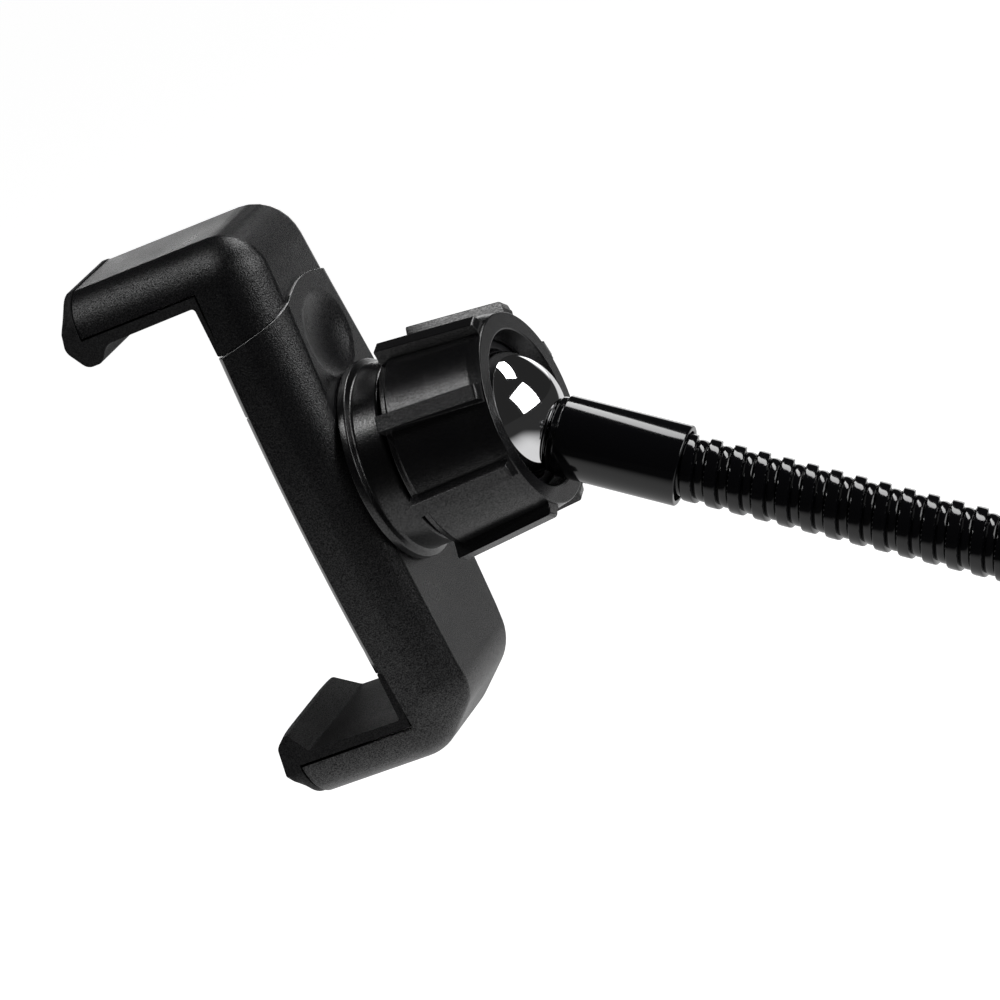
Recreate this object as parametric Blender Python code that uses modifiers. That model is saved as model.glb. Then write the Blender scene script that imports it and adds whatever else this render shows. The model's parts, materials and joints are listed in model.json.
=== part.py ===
"""Phone handlebar mount: a spring-loaded phone clip on a ball joint, a jointed neck and a bar clamp.

World frame: +Z up along the jaws, +X from the phone to the ball joint, +Y across the holder
and along the handlebar. The origin is the centre of the flat on the clamp's cap.
All dimensions are in millimetres and become metres through MM.
"""

import math

import bmesh
import bpy
from mathutils import Matrix, Vector

MM = 0.001
CLEAR = 0.3  # gap between neighbouring parts

# --- neck and ball joint, distances along the neck axis from the ball's centre
NECK_ANGLE = 35.0  # neck axis below the socket axis, degrees
BALL_R = 8.5
BALL_STUD_R = 2.9
BALL_STUD_END = 15.7
NECK_STUD_R = 3.0
STUD_HOLE_R = NECK_STUD_R + CLEAR
FERRULE_R = 5.15
FERRULE_EDGE = 0.25
FERRULE_BORE_R = 4.55
FERRULE_BORE_DEPTH = 6.0  # for the neck's end link
STUD_SEAT_DEPTH = 8.9
UP_FERRULE_START, UP_FERRULE_END = 7.4, 24.2
LOW_FERRULE_START, LOW_FERRULE_END = 87.2, 103.9
LINK_PITCH = 6.2
LINK_R = 4.2
LINK_EDGE = 0.3
CUP_R = 2.55  # inner radius of a link's cup
CUP_LIP = 1.7  # height of the cup's rim above the joint centre
LINK_BALL_R = 2.2
STEM_R = 1.3
SHOULDER = 3.4  # from a link's joint centre to its flat end
PLUG_DEPTH = 5.6  # of the first link in the lower ferrule
JOINTS = 10
BALL_END_JOINT = 26.9  # centre of the joint next to the upper ferrule
CLAMP_END_JOINT = BALL_END_JOINT + LINK_PITCH * (JOINTS - 1)
JAM_NUT_END = 107.4
CLAMP_FACE = JAM_NUT_END + CLEAR
BORE_CENTRE = 128.0
CAP_FLAT = 147.0

# --- clamp
CLAMP_HALF = 11.0  # half length along the bar
CLAMP_R = 17.2
CLAMP_EDGE = 0.8
SEAT_R = 13.4  # bore of the clamp halves, for the liners
LINER_OUT, LINER_IN = SEAT_R - CLEAR, 11.2
SPLIT_HALF = 1.0
EAR_REACH = 26.0
EAR_DEPTH = 6.6
BOLT_X = 20.6
BOLT_R = 2.5
BOLT_HOLE_R = BOLT_R + CLEAR
HEX_NUT_R, HEX_NUT_THICK = 4.6, 4.0
JAM_NUT_R = 6.4

# --- holder, in depth (from the phone side to the ball side), drop (down the jaws) and across
BALL_DEPTH, BALL_DROP = 25.0, 31.0
GAP = 62.0  # between the rigid jaws
BACK = 9.0  # depth of the back face
JAW = 5.5  # thickness of an arm
HALF_W = 11.0
BULGE = 2.0
SHELL_EDGE = 2.6
SWELL_CUTS = [6, 14, 22, 31, 40, 48, 56]  # drops where the shells are cut to take the bulge
BLANK_TIP = -24  # depth of the arm tips before trimming
TIP_UP, TIP_LOW = -17.3, -16.3
PAST_TIPS, PAST_SIDES = -60, 30  # reach of the cutting boxes
SEAM_SIDE = 7.0  # drop of the seam at the sides, at depth SEAM_DEPTH
SEAM_FRONT = 8.5  # drop of the seam at the sides, at depth zero
SEAM_DEPTH = 7.5
SEAM_ARCH = 0.95  # half the rise from the sides to the middle
PLATE = 0.9
PLATE_REAR = -0.25
PLATE_INSET = 0.4
PAD_FRONT = -1.9
PAD_DROPS = (17.0, 53.0)
PAD_HALF = 7.0
JAW_PAD_HALF, JAW_PAD_EDGE = 10.4, 0.3
TONGUE_DEPTHS = (0.4, 5.8)
TONGUE_HALF = 8.3
TONGUE_WALL = 1.0
TONGUE_END = 48.0

# --- springs and their posts
POST_SIDES = {"right": -4.2, "left": 4.2}  # side: distance across
POST_R = 1.0
JAW_POST_DROP, HOUSING_POST_DROP = 7.4, 56.6
WIRE_R = 0.22
COIL_R, COIL_TURNS, COIL_STEPS = 1.25, 11, 8
COIL_DEPTH = 3.1
COIL_INSET = 3.2  # from a post to the coil's nearest end
EYE_R, EYE_SWEEP, EYE_STEPS = 1.45, 250, 5

# --- screws
COVER_SCREWS = [(13.0, -9.9), (13.0, 9.9), (50.0, -9.9), (50.0, 9.9)]  # (drop, across)
COLLAR_SCREW_ANGLES = [90, 210, 330]  # degrees from +Y towards +Z
COLLAR_SCREW_CIRCLE = 6.4
COLLAR_SCREW_DEPTH = 7.0

# --- ball socket, heights along the socket axis from the ball's centre
SOCKET_R = 12.3
COLLAR_FLANGE_R = SOCKET_R + 0.9
BALL_SEAT_R = BALL_R + CLEAR + 0.05
NUT_NECK_END, NUT_HOLDER_END = 4.7, -10.0
RIBS = 8
RIB_PHASE = -14.0  # degrees
RIB_HALF = 0.85

for old in list(bpy.data.objects):
    bpy.data.objects.remove(old, do_unlink=True)

PARTS = bpy.data.collections.new("phone_handlebar_mount")
CUTTERS = bpy.data.collections.new("cutters")
bpy.context.scene.collection.children.link(PARTS)
bpy.context.scene.collection.children.link(CUTTERS)

# --- materials ---------------------------------------------------------------
LOOKS = {
    "shell": dict(colour=(0.018, 0.018, 0.019), roughness=0.55, metallic=0.0),
    "nut": dict(colour=(0.012, 0.012, 0.013), roughness=0.38, metallic=0.0),
    "rubber": dict(colour=(0.035, 0.035, 0.037), roughness=0.8, metallic=0.0),
    "chrome": dict(colour=(0.82, 0.83, 0.85), roughness=0.05, metallic=1.0),
    "gloss": dict(colour=(0.01, 0.01, 0.011), roughness=0.12, metallic=0.0),
    "steel": dict(colour=(0.55, 0.55, 0.57), roughness=0.3, metallic=1.0),
    "acetal": dict(colour=(0.06, 0.06, 0.065), roughness=0.5, metallic=0.0),
    "clamp": dict(colour=(0.02, 0.02, 0.021), roughness=0.35, metallic=0.3),
}


def material(name, colour, roughness, metallic):
    mat = bpy.data.materials.new(name)
    mat.use_nodes = True
    shader = mat.node_tree.nodes["Principled BSDF"]
    shader.inputs["Base Color"].default_value = (*colour, 1.0)
    shader.inputs["Roughness"].default_value = roughness
    shader.inputs["Metallic"].default_value = metallic
    mat.diffuse_color = (*colour, 1.0)
    return mat


# --- frames ------------------------------------------------------------------
neck_slope = math.radians(NECK_ANGLE)
NECK = Vector((math.cos(neck_slope), 0.0, -math.sin(neck_slope)))
SIDE = Vector((0.0, 1.0, 0.0))
BALL = -NECK * CAP_FLAT * MM


def frame_matrix(origin, z_axis):
    """A frame whose Z is the given axis and whose Y is the world's Y."""
    x_axis = SIDE.cross(z_axis)
    matrix = Matrix((x_axis, SIDE, z_axis)).transposed().to_4x4()
    matrix.translation = origin
    return matrix


def empty(name, matrix, size=0.01):
    obj = bpy.data.objects.new(name, None)
    obj.empty_display_size = size
    PARTS.objects.link(obj)
    obj.matrix_world = matrix
    return obj


def neck_frame(distance):
    """A frame on the neck axis, the given distance from the ball's centre."""
    return frame_matrix(BALL + NECK * distance * MM, NECK)


clamp_axis = empty("clamp_axis", neck_frame(BORE_CENTRE))
# joint 1 is next to the clamp, the last joint is next to the ball
neck_axes = [
    empty(f"neck_joint_{k:02d}", neck_frame(BALL_END_JOINT + LINK_PITCH * (JOINTS - k)), 0.005)
    for k in range(1, JOINTS + 1)
]
ball_axis = empty("ball_axis", frame_matrix(BALL, NECK))
socket_axis = empty("socket_axis", frame_matrix(BALL, Vector((1, 0, 0))))
holder_axis = empty("holder_axis", Matrix.Translation(BALL))
jaw_axis = empty("jaw_slide_axis", Matrix.Translation(BALL))


# --- placing and cutting -------------------------------------------------------
def attach(obj, parent, collection):
    collection.objects.link(obj)
    obj.parent = parent
    obj.matrix_parent_inverse = Matrix.Identity(4)
    return obj


def place(obj, parent, look):
    """Puts a part under its axis, with its own material."""
    attach(obj, parent, PARTS)
    obj.data.materials.clear()
    obj.data.materials.append(material(obj.name + "_" + look, **LOOKS[look]))
    return obj


def cutter(obj, parent):
    """Puts a hidden boolean helper under its axis."""
    attach(obj, parent, CUTTERS)
    obj.hide_render = True
    obj.display_type = "WIRE"
    return obj


def carve(obj, tool, operation="DIFFERENCE"):
    mod = obj.modifiers.new(operation.lower() + "_" + tool.name, "BOOLEAN")
    mod.operation = operation
    mod.object = tool
    mod.solver = "EXACT"


# --- building blocks -----------------------------------------------------------
def mesh_object(name, shape, smooth=True):
    """An object from a bmesh, which is freed."""
    mesh = bpy.data.meshes.new(name)
    bmesh.ops.recalc_face_normals(shape, faces=shape.faces)
    shape.to_mesh(mesh)
    shape.free()
    if smooth:
        mesh.shade_smooth()
        mesh.set_sharp_from_angle(angle=math.radians(32))
    return bpy.data.objects.new(name, mesh)


def baked(obj, weld):
    """The evaluated object as a bmesh with close vertices welded; the object is removed."""
    bpy.context.scene.collection.objects.link(obj)
    bpy.context.view_layer.update()
    depsgraph = bpy.context.evaluated_depsgraph_get()
    mesh = bpy.data.meshes.new_from_object(obj.evaluated_get(depsgraph))
    bpy.data.objects.remove(obj, do_unlink=True)
    shape = bmesh.new()
    shape.from_mesh(mesh)
    bpy.data.meshes.remove(mesh)
    bmesh.ops.remove_doubles(shape, verts=shape.verts, dist=weld)
    return shape


def rod(name, radius, start, end, segments, axis="Z", at=(0, 0, 0)):
    """A cylinder along an axis."""
    shape = bmesh.new()
    bmesh.ops.create_cone(
        shape,
        cap_ends=True,
        segments=segments,
        radius1=radius * MM,
        radius2=radius * MM,
        depth=(end - start) * MM,
    )
    bmesh.ops.translate(shape, vec=(0, 0, (start + end) / 2 * MM), verts=shape.verts)
    turns = {
        "Z": Matrix.Identity(3),
        "Y": Matrix.Rotation(-math.pi / 2, 3, "X"),
        "X": Matrix.Rotation(math.pi / 2, 3, "Y"),
    }
    bmesh.ops.rotate(shape, matrix=turns[axis], verts=shape.verts)
    bmesh.ops.translate(shape, vec=Vector(at) * MM, verts=shape.verts)
    return mesh_object(name, shape)


def turned(name, profile, steps, closed=False):
    """A body turned about Z from (radius, height) points."""
    mesh = bpy.data.meshes.new(name)
    points = [(radius * MM, 0.0, z * MM) for radius, z in profile]
    edges = [(i, i + 1) for i in range(len(points) - 1)]
    if closed:
        edges.append((len(points) - 1, 0))
    mesh.from_pydata(points, edges, [])
    obj = bpy.data.objects.new(name, mesh)
    screw = obj.modifiers.new("turn", "SCREW")
    screw.axis = "Z"
    screw.steps = screw.render_steps = steps
    screw.use_merge_vertices = True
    screw.merge_threshold = 0.00001
    shape = baked(obj, weld=0.000005)
    bpy.data.meshes.remove(mesh)
    return mesh_object(name, shape)


def poly_spline(curve, points):
    """Adds a poly spline through (x, y, z) points."""
    spline = curve.splines.new("POLY")
    spline.points.add(len(points) - 1)
    for point, (x, y, z) in zip(spline.points, points):
        point.co = (x * MM, y * MM, z * MM, 1.0)
    return spline


def slab(name, outline, half, edge=0.0, edge_steps=1):
    """A flat X-Z outline, extruded to both sides along Y with rounded edges."""
    curve = bpy.data.curves.new(name, "CURVE")
    curve.dimensions = "2D"
    curve.fill_mode = "BOTH"
    poly_spline(curve, [(x, y, 0.0) for x, y in outline]).use_cyclic_u = True
    curve.extrude = (half - edge) * MM
    if edge:
        curve.bevel_depth = edge * MM
        curve.bevel_resolution = edge_steps
        curve.offset = -edge * MM
    shape = baked(bpy.data.objects.new(name + "_outline", curve), weld=0.00001)
    bpy.data.curves.remove(curve)
    bmesh.ops.rotate(shape, matrix=Matrix.Rotation(math.pi / 2, 3, "X"), verts=shape.verts)
    return mesh_object(name, shape)


def arc(centre, radius, start, end, count):
    """Points on an arc of a profile; angles in degrees from +Z (the axis)."""
    points = []
    for i in range(count + 1):
        angle = math.radians(start + (end - start) * i / count)
        points.append(
            (centre[0] + radius * math.sin(angle), centre[1] + radius * math.cos(angle))
        )
    return points


def rounded(corners, steps=4):
    """A flat outline from (x, y, radius) corners, each replaced by its fillet."""
    outline = []
    for i, (x, y, radius) in enumerate(corners):
        if radius <= 0:
            outline.append((x, y))
            continue
        here = Vector((x, y))
        before = Vector(corners[i - 1][:2]) - here
        after = Vector(corners[(i + 1) % len(corners)][:2]) - here
        before.normalize()
        after.normalize()
        half_angle = before.angle(after) / 2
        reach = radius / math.tan(half_angle)
        centre = here + (before + after).normalized() * (radius / math.sin(half_angle))
        first = here + before * reach - centre
        last = here + after * reach - centre
        turn = first.angle_signed(last)
        for k in range(steps + 1):
            point = centre + Matrix.Rotation(-turn * k / steps, 2) @ first
            outline.append((point.x, point.y))
    return outline


# --- holder coordinates ----------------------------------------------------------
def holder_x(depth):
    return depth - BALL_DEPTH


def holder_z(drop):
    return BALL_DROP - drop


def holder_outline(points):
    """(depth, drop[, radius]) to X-Z about the ball's centre."""
    return [(holder_x(depth), holder_z(drop), *rest) for depth, drop, *rest in points]


def holder_block(name, depths, drops, half):
    """A box between two depths and two drops, centred across the holder."""
    low = Vector((holder_x(depths[0]), -half, holder_z(drops[1])))
    high = Vector((holder_x(depths[1]), half, holder_z(drops[0])))
    shape = bmesh.new()
    bmesh.ops.create_cube(shape, size=1.0)
    bmesh.ops.scale(shape, vec=(high - low) * MM, verts=shape.verts)
    bmesh.ops.translate(shape, vec=(high + low) / 2 * MM, verts=shape.verts)
    return mesh_object(name, shape, smooth=False)


def holder_rod(name, radius, depths, segments, across, drop):
    """A cylinder running through the holder's depth."""
    return rod(
        name, radius, holder_x(depths[0]), holder_x(depths[1]), segments,
        axis="X", at=(0, across, holder_z(drop)),
    )


def half_width(drop):
    """Half the holder's width: it swells in the middle of its length."""
    if drop <= 0 or drop >= GAP:
        return HALF_W
    return HALF_W + BULGE * math.sin(math.pi * drop / GAP)


def swell(obj, cuts, inset=0.0):
    """Cuts an object across its length and widens it to the holder's barrel outline."""
    shape = bmesh.new()
    shape.from_mesh(obj.data)
    for drop in cuts:
        bmesh.ops.bisect_plane(
            shape,
            geom=list(shape.verts) + list(shape.edges) + list(shape.faces),
            plane_co=(0, 0, holder_z(drop) * MM),
            plane_no=(0, 0, 1),
            dist=0.000001,
        )
    for vert in shape.verts:
        drop = BALL_DROP - vert.co.z / MM
        vert.co.y *= (half_width(drop) - inset) / (HALF_W - inset)
    bmesh.ops.triangulate(shape, faces=shape.faces)
    shape.to_mesh(obj.data)
    shape.free()
    return obj


# --- holder shells ---------------------------------------------------------------
# (depth, drop, corner radius)
SHELL_CORNERS = [
    (BLANK_TIP, -JAW, 0),
    (BACK, -JAW, 6.0),
    (BACK, 60.8, 3.6),
    (1.2, GAP + JAW, 5.0),
    (BLANK_TIP, GAP + JAW, 0),
]


def shell_blank(name):
    """The whole holder's C shape, before it is split into housing and jaw."""
    outline = rounded(holder_outline(SHELL_CORNERS))
    return swell(slab(name, outline, HALF_W, edge=SHELL_EDGE), SWELL_CUTS)


def seam_tool(name, shift, far_drop):
    """Everything between the arched seam and a far drop.

    The seam is lowest at the sides, highest in the middle, and drops towards the phone.
    """
    span, count = 15, 12
    points = []
    for i in range(count + 1):
        across = -span + 2 * span * i / count
        bend = -math.cos(math.pi * min(abs(across), HALF_W) / HALF_W)
        points.append((across, SEAM_SIDE - SEAM_ARCH + SEAM_ARCH * bend + shift))
    points += [(span, far_drop), (-span, far_drop)]
    tool = slab(name, [(across, holder_z(drop)) for across, drop in points], 70.0)

    lean = math.atan((SEAM_FRONT - SEAM_SIDE) / SEAM_DEPTH)
    pivot = Vector((holder_x(SEAM_DEPTH) * MM, 0, holder_z(SEAM_SIDE) * MM))
    shape = bmesh.new()
    shape.from_mesh(tool.data)
    bmesh.ops.rotate(shape, matrix=Matrix.Rotation(math.pi / 2, 3, "Z"), verts=shape.verts)
    bmesh.ops.translate(shape, vec=(holder_x(0) * MM, 0, 0), verts=shape.verts)
    bmesh.ops.rotate(
        shape, cent=pivot, matrix=Matrix.Rotation(-lean, 3, "Y"), verts=shape.verts
    )
    bmesh.ops.recalc_face_normals(shape, faces=shape.faces)
    shape.to_mesh(tool.data)
    shape.free()
    return cutter(tool, holder_axis)


def collar_screw_spot(angle):
    """(across, up) of a collar screw from the socket axis."""
    turn = math.radians(angle)
    return COLLAR_SCREW_CIRCLE * math.cos(turn), COLLAR_SCREW_CIRCLE * math.sin(turn)


def add_posts(obj, name, parent, depths, drop):
    """Joins the two spring posts at one drop to a shell."""
    for i, across in enumerate(POST_SIDES.values(), 1):
        post = cutter(holder_rod(f"{name}_{i}", POST_R, depths, 10, across, drop), parent)
        carve(obj, post, "UNION")


def rear_housing(phone_space):
    """The lower shell: the holder's back and the fixed lower jaw."""
    housing = place(shell_blank("rear_housing"), holder_axis, "shell")
    carve(housing, phone_space)
    tip_cut = holder_block(
        "lower_tip_cut", depths=(PAST_TIPS, TIP_LOW), drops=(50, 90), half=PAST_SIDES
    )
    carve(housing, cutter(tip_cut, holder_axis))
    carve(housing, seam_tool("above_seam", CLEAR / 2, -40))
    cavity = holder_block("housing_cavity", depths=(-5, 7.3), drops=(-10, 59.4), half=8.8)
    carve(housing, cutter(cavity, holder_axis))
    add_posts(housing, "spring_post", holder_axis, (1.6, 7.8), HOUSING_POST_DROP)
    for i, (drop, across) in enumerate(COVER_SCREWS, 1):
        hole = holder_rod(f"cover_screw_hole_{i}", 0.95, (-4, 5.5), 10, across, drop)
        carve(housing, cutter(hole, holder_axis))
    for i, angle in enumerate(COLLAR_SCREW_ANGLES, 1):
        hole = rod(
            f"collar_screw_hole_{i}", 1.3, holder_x(5), holder_x(12), 10,
            axis="X", at=(0, *collar_screw_spot(angle)),
        )
        carve(housing, cutter(hole, holder_axis))


def upper_jaw(phone_space):
    """The sliding upper shell, with a hollow tongue reaching down into the housing."""
    jaw = place(shell_blank("upper_jaw"), jaw_axis, "shell")
    carve(jaw, phone_space)
    tip_cut = holder_block(
        "upper_tip_cut", depths=(PAST_TIPS, TIP_UP), drops=(-20, 10), half=PAST_SIDES
    )
    carve(jaw, cutter(tip_cut, holder_axis))
    carve(jaw, seam_tool("below_seam", -CLEAR / 2, 110))
    tongue = holder_block("tongue", TONGUE_DEPTHS, drops=(2.0, TONGUE_END), half=TONGUE_HALF)
    carve(jaw, cutter(tongue, jaw_axis), "UNION")
    bore = holder_block(
        "tongue_bore",
        depths=(TONGUE_DEPTHS[0] + TONGUE_WALL, TONGUE_DEPTHS[1] - TONGUE_WALL),
        drops=(4.5, TONGUE_END + 5),
        half=TONGUE_HALF - TONGUE_WALL,
    )
    carve(jaw, cutter(bore, jaw_axis))
    add_posts(jaw, "jaw_post", jaw_axis, (1.0, 5.3), JAW_POST_DROP)


def front_plate():
    """The thin cover on the phone side, with a hole for each cover screw."""
    top, bottom = SEAM_FRONT + 0.5, 53.5
    outline = holder_outline(
        [(-PLATE, top), (PLATE_REAR, top), (PLATE_REAR, bottom), (-PLATE, bottom)]
    )
    plate = slab("front_plate", outline, HALF_W - PLATE_INSET)
    swell(plate, SWELL_CUTS[1:], inset=PLATE_INSET)
    place(plate, holder_axis, "shell")
    for i, (drop, across) in enumerate(COVER_SCREWS, 1):
        hole = holder_rod(f"cover_hole_{i}", 1.5, (-4, 4), 16, across, drop)
        carve(plate, cutter(hole, holder_axis))


# --- pads ------------------------------------------------------------------------
# (depth, drop, corner radius)
UPPER_PAD_CORNERS = [
    (TIP_UP - CLEAR, CLEAR, 0),
    (-CLEAR, CLEAR, 0),
    (-CLEAR, 8.2, 0.4),
    (-1.3, 8.2, 0.4),
    (-1.3, 1.7, 0.4),
    (-14.6, 1.7, 1.5),
    (-16.3, 3.7, 1.0),
    (-18.4, 3.6, 1.2),
    (-19.6, 0.9, 1.6),
    (-19.2, -2.6, 2.0),
    (-18.4, -5.1, 0.5),
    (TIP_UP - CLEAR, -5.1, 0),
]
LOWER_PAD_CORNERS = [
    (TIP_LOW - CLEAR, GAP - CLEAR, 0),
    (TIP_LOW - CLEAR, 67.0, 0),
    (-17.5, 67.0, 0.5),
    (-19.2, 63.3, 2.0),
    (-18.8, 60.2, 1.5),
    (-17.9, 57.4, 0.6),
    (-16.6, 57.4, 0.5),
    (-13.8, 60.2, 1.2),
    (-PLATE, 60.4, 0.3),
    (-PLATE, 53.9, 0),
    (-CLEAR, 53.9, 0),
    (-CLEAR, GAP - CLEAR, 0),
]


def front_pad():
    """The flat pad on the front plate."""
    rear = -PLATE - CLEAR
    top, bottom = PAD_DROPS
    outline = holder_outline([(PAD_FRONT, top), (rear, top), (rear, bottom), (PAD_FRONT, bottom)])
    place(slab("front_pad", outline, PAD_HALF), holder_axis, "rubber")


def jaw_pad(name, corners, parent):
    """A pad lining a jaw and hooked over its tip."""
    outline = rounded(holder_outline(corners), 2)
    pad = slab(name, outline, JAW_PAD_HALF, edge=JAW_PAD_EDGE, edge_steps=0)
    place(pad, parent, "rubber")


# --- springs -----------------------------------------------------------------------
def spring_eye(across, drop, start):
    """Points of a wire eye around a post; start in degrees from +Z towards +Y."""
    points = []
    for i in range(EYE_STEPS + 1):
        angle = math.radians(start + EYE_SWEEP * i / EYE_STEPS)
        y = across + EYE_R * math.sin(angle)
        points.append((holder_x(COIL_DEPTH), y, holder_z(drop) + EYE_R * math.cos(angle)))
    return points


def jaw_spring(side, across):
    """A coil between two eyes, each hooked on its post."""
    name = "jaw_spring_" + side
    curve = bpy.data.curves.new(name, "CURVE")
    curve.dimensions = "3D"
    curve.fill_mode = "FULL"
    curve.bevel_depth = WIRE_R * MM
    curve.bevel_resolution = 1
    curve.use_fill_caps = True

    start, end = JAW_POST_DROP + COIL_INSET, HOUSING_POST_DROP - COIL_INSET
    count = COIL_TURNS * COIL_STEPS
    coil = []
    for i in range(count + 1):
        angle = 2 * math.pi * i / COIL_STEPS
        x = holder_x(COIL_DEPTH) + COIL_R * math.sin(angle)
        y = across + COIL_R * math.cos(angle)
        coil.append((x, y, holder_z(start + (end - start) * i / count)))
    upper_eye = spring_eye(across, JAW_POST_DROP, -50)
    lower_eye = spring_eye(across, HOUSING_POST_DROP, 20)
    poly_spline(curve, upper_eye + coil + lower_eye)
    place(bpy.data.objects.new(name, curve), holder_axis, "steel")


# --- screws: (radius, height) with the head on top -----------------------------------
COVER_SCREW = [(0, 0.9), (1.2, 0.9), (1.2, 0.65), (0.65, 0.1), (0.65, -4.4), (0, -4.9)]
COLLAR_SCREW = [
    (0, 0.9), (1.116, 0.9), (1.8, 0.405), (1.8, 0), (0.9, 0), (0.9, -4.5), (0, -5.0),
]


def holder_screw(name, profile, steps, depth, across, up):
    """A screw through the holder's depth, its head towards the phone."""
    screw = place(turned(name, profile, steps), holder_axis, "steel")
    screw.location = Vector((holder_x(depth), across, up)) * MM
    screw.rotation_euler = (0, -math.pi / 2, 0)


def holder_screws():
    for i, (drop, across) in enumerate(COVER_SCREWS, 1):
        holder_screw(f"cover_screw_{i}", COVER_SCREW, 16, 0.05, across, holder_z(drop))
    for i, angle in enumerate(COLLAR_SCREW_ANGLES, 1):
        across, up = collar_screw_spot(angle)
        holder_screw(f"collar_screw_{i}", COLLAR_SCREW, 12, COLLAR_SCREW_DEPTH, across, up)


# --- ball socket: turned about the socket axis, +Z away from the holder -----------------
def socket_collar():
    """A flanged cup on the holder's back, with three screw holes in its floor."""
    base = holder_x(BACK) + CLEAR
    profile = [
        (0, -10.3),
        (9.9, -10.3),
        (9.9, 0.6),
        (11.0, 0.6),
        (11.0, -10.4),
        (SOCKET_R - 0.3, -10.4),
        (SOCKET_R, -10.7),
        (SOCKET_R, base + 1.5),
        (COLLAR_FLANGE_R, base + 1.1),
        (COLLAR_FLANGE_R, base),
        (0, base),
    ]
    collar = place(turned("socket_collar", profile, 32), socket_axis, "nut")
    for i, angle in enumerate(COLLAR_SCREW_ANGLES, 1):
        across, up = collar_screw_spot(angle)
        # the socket frame's X points down
        hole = rod(f"collar_hole_{i}", 1.2, -20, -12.2, 10, at=(-up, across, 0))
        carve(collar, cutter(hole, socket_axis))


def nut_ribs():
    """The grip ribs around the lock nut, as one tool."""
    profile = [  # (radius, height)
        (12.0, NUT_HOLDER_END + 0.02),
        (14.9, NUT_HOLDER_END + 0.02),
        (14.9, NUT_HOLDER_END + 1.0),
        (14.1, 3.7),
        (13.4, 4.2),
        (12.0, 4.2),
    ]
    shape = bmesh.new()
    for k in range(RIBS):
        # angle from the world's +Z (the frame's -X) towards +Y
        angle = math.radians(RIB_PHASE + 360 * k / RIBS)
        cos, sin = math.cos(angle), math.sin(angle)
        rings = []
        for side in (-RIB_HALF, RIB_HALF):
            corners = [(-r * cos + side * sin, r * sin + side * cos, z) for r, z in profile]
            rings.append([shape.verts.new(Vector(corner) * MM) for corner in corners])
        shape.faces.new(rings[0])
        shape.faces.new(list(reversed(rings[1])))
        for i in range(len(profile)):
            j = (i + 1) % len(profile)
            shape.faces.new((rings[0][j], rings[0][i], rings[1][i], rings[1][j]))
    return cutter(mesh_object("nut_ribs", shape, smooth=False), socket_axis)


def lock_nut():
    """The ribbed ring around the socket."""
    profile = [
        (12.2, NUT_NECK_END),
        (12.6, NUT_NECK_END - 0.4),
        (13.2, -2.5),
        (13.5, NUT_HOLDER_END + 0.4),
        (13.2, NUT_HOLDER_END),
        (11.35, NUT_HOLDER_END),
        (11.35, 2.0),
        (9.7, 2.3),
        (9.7, 2.6),
        (10.4, NUT_NECK_END),
    ]
    nut = place(turned("lock_nut", profile, 40, closed=True), socket_axis, "nut")
    carve(nut, nut_ribs(), "UNION")


def ball_seat(heights):
    """Profile points on the spherical seat around the ball."""
    return [(math.sqrt(BALL_SEAT_R**2 - z * z), z) for z in heights]


def collet_ring():
    """The ring around the ball's middle."""
    profile = [(8.72, 2.0), (10.7, 1.9), (11.0, 0.9), (9.6, 0.9), (9.6, -2.4)]
    profile += ball_seat((-2.4, -1.2, 0.0, 1.0))
    place(turned("collet_ring", profile, 28, closed=True), socket_axis, "acetal")


def friction_pad():
    """The dished pad between the ball and the collar's floor."""
    profile = [(0, -BALL_SEAT_R)] + ball_seat((-8.4, -7.2, -5.6, -4.0))
    profile += [(9.5, -4.0), (9.5, -10.0), (0, -10.0)]
    place(turned("friction_pad", profile, 24), socket_axis, "acetal")


# --- ball and neck: turned about the neck axis, +Z towards the clamp ----------------------
def ball_stud():
    """The ball and its stud, drawn with the stud down and turned over towards the clamp."""
    neck_angle = 180 - math.degrees(math.asin(BALL_STUD_R / BALL_R))
    profile = arc((0, 0), BALL_R, 0, neck_angle, 12) + [
        (BALL_STUD_R, -BALL_STUD_END + 0.3),
        (BALL_STUD_R - 0.3, -BALL_STUD_END),
        (0, -BALL_STUD_END),
    ]
    ball = place(turned("ball_stud", profile, 28), ball_axis, "chrome")
    ball.rotation_euler = (math.pi, 0, 0)


def ferrule(name, length, parent, shift, flip=False):
    """A ferrule with a stud seat at its outer end (height zero) and a link bore at the other."""
    profile = [
        (0, -STUD_SEAT_DEPTH),
        (STUD_HOLE_R, -STUD_SEAT_DEPTH),
        (STUD_HOLE_R, -1.4),
        (4.55, 0),
        (FERRULE_R - FERRULE_EDGE, 0),
        (FERRULE_R, -FERRULE_EDGE),
        (FERRULE_R, -length + FERRULE_EDGE),
        (FERRULE_R - FERRULE_EDGE, -length),
        (FERRULE_BORE_R, -length),
        (FERRULE_BORE_R, -length + FERRULE_BORE_DEPTH),
        (0, -length + FERRULE_BORE_DEPTH),
    ]
    obj = place(turned(name, profile, 28), parent, "gloss")
    obj.location = (0, 0, shift * MM)
    if flip:
        obj.rotation_euler = (math.pi, 0, 0)


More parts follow.
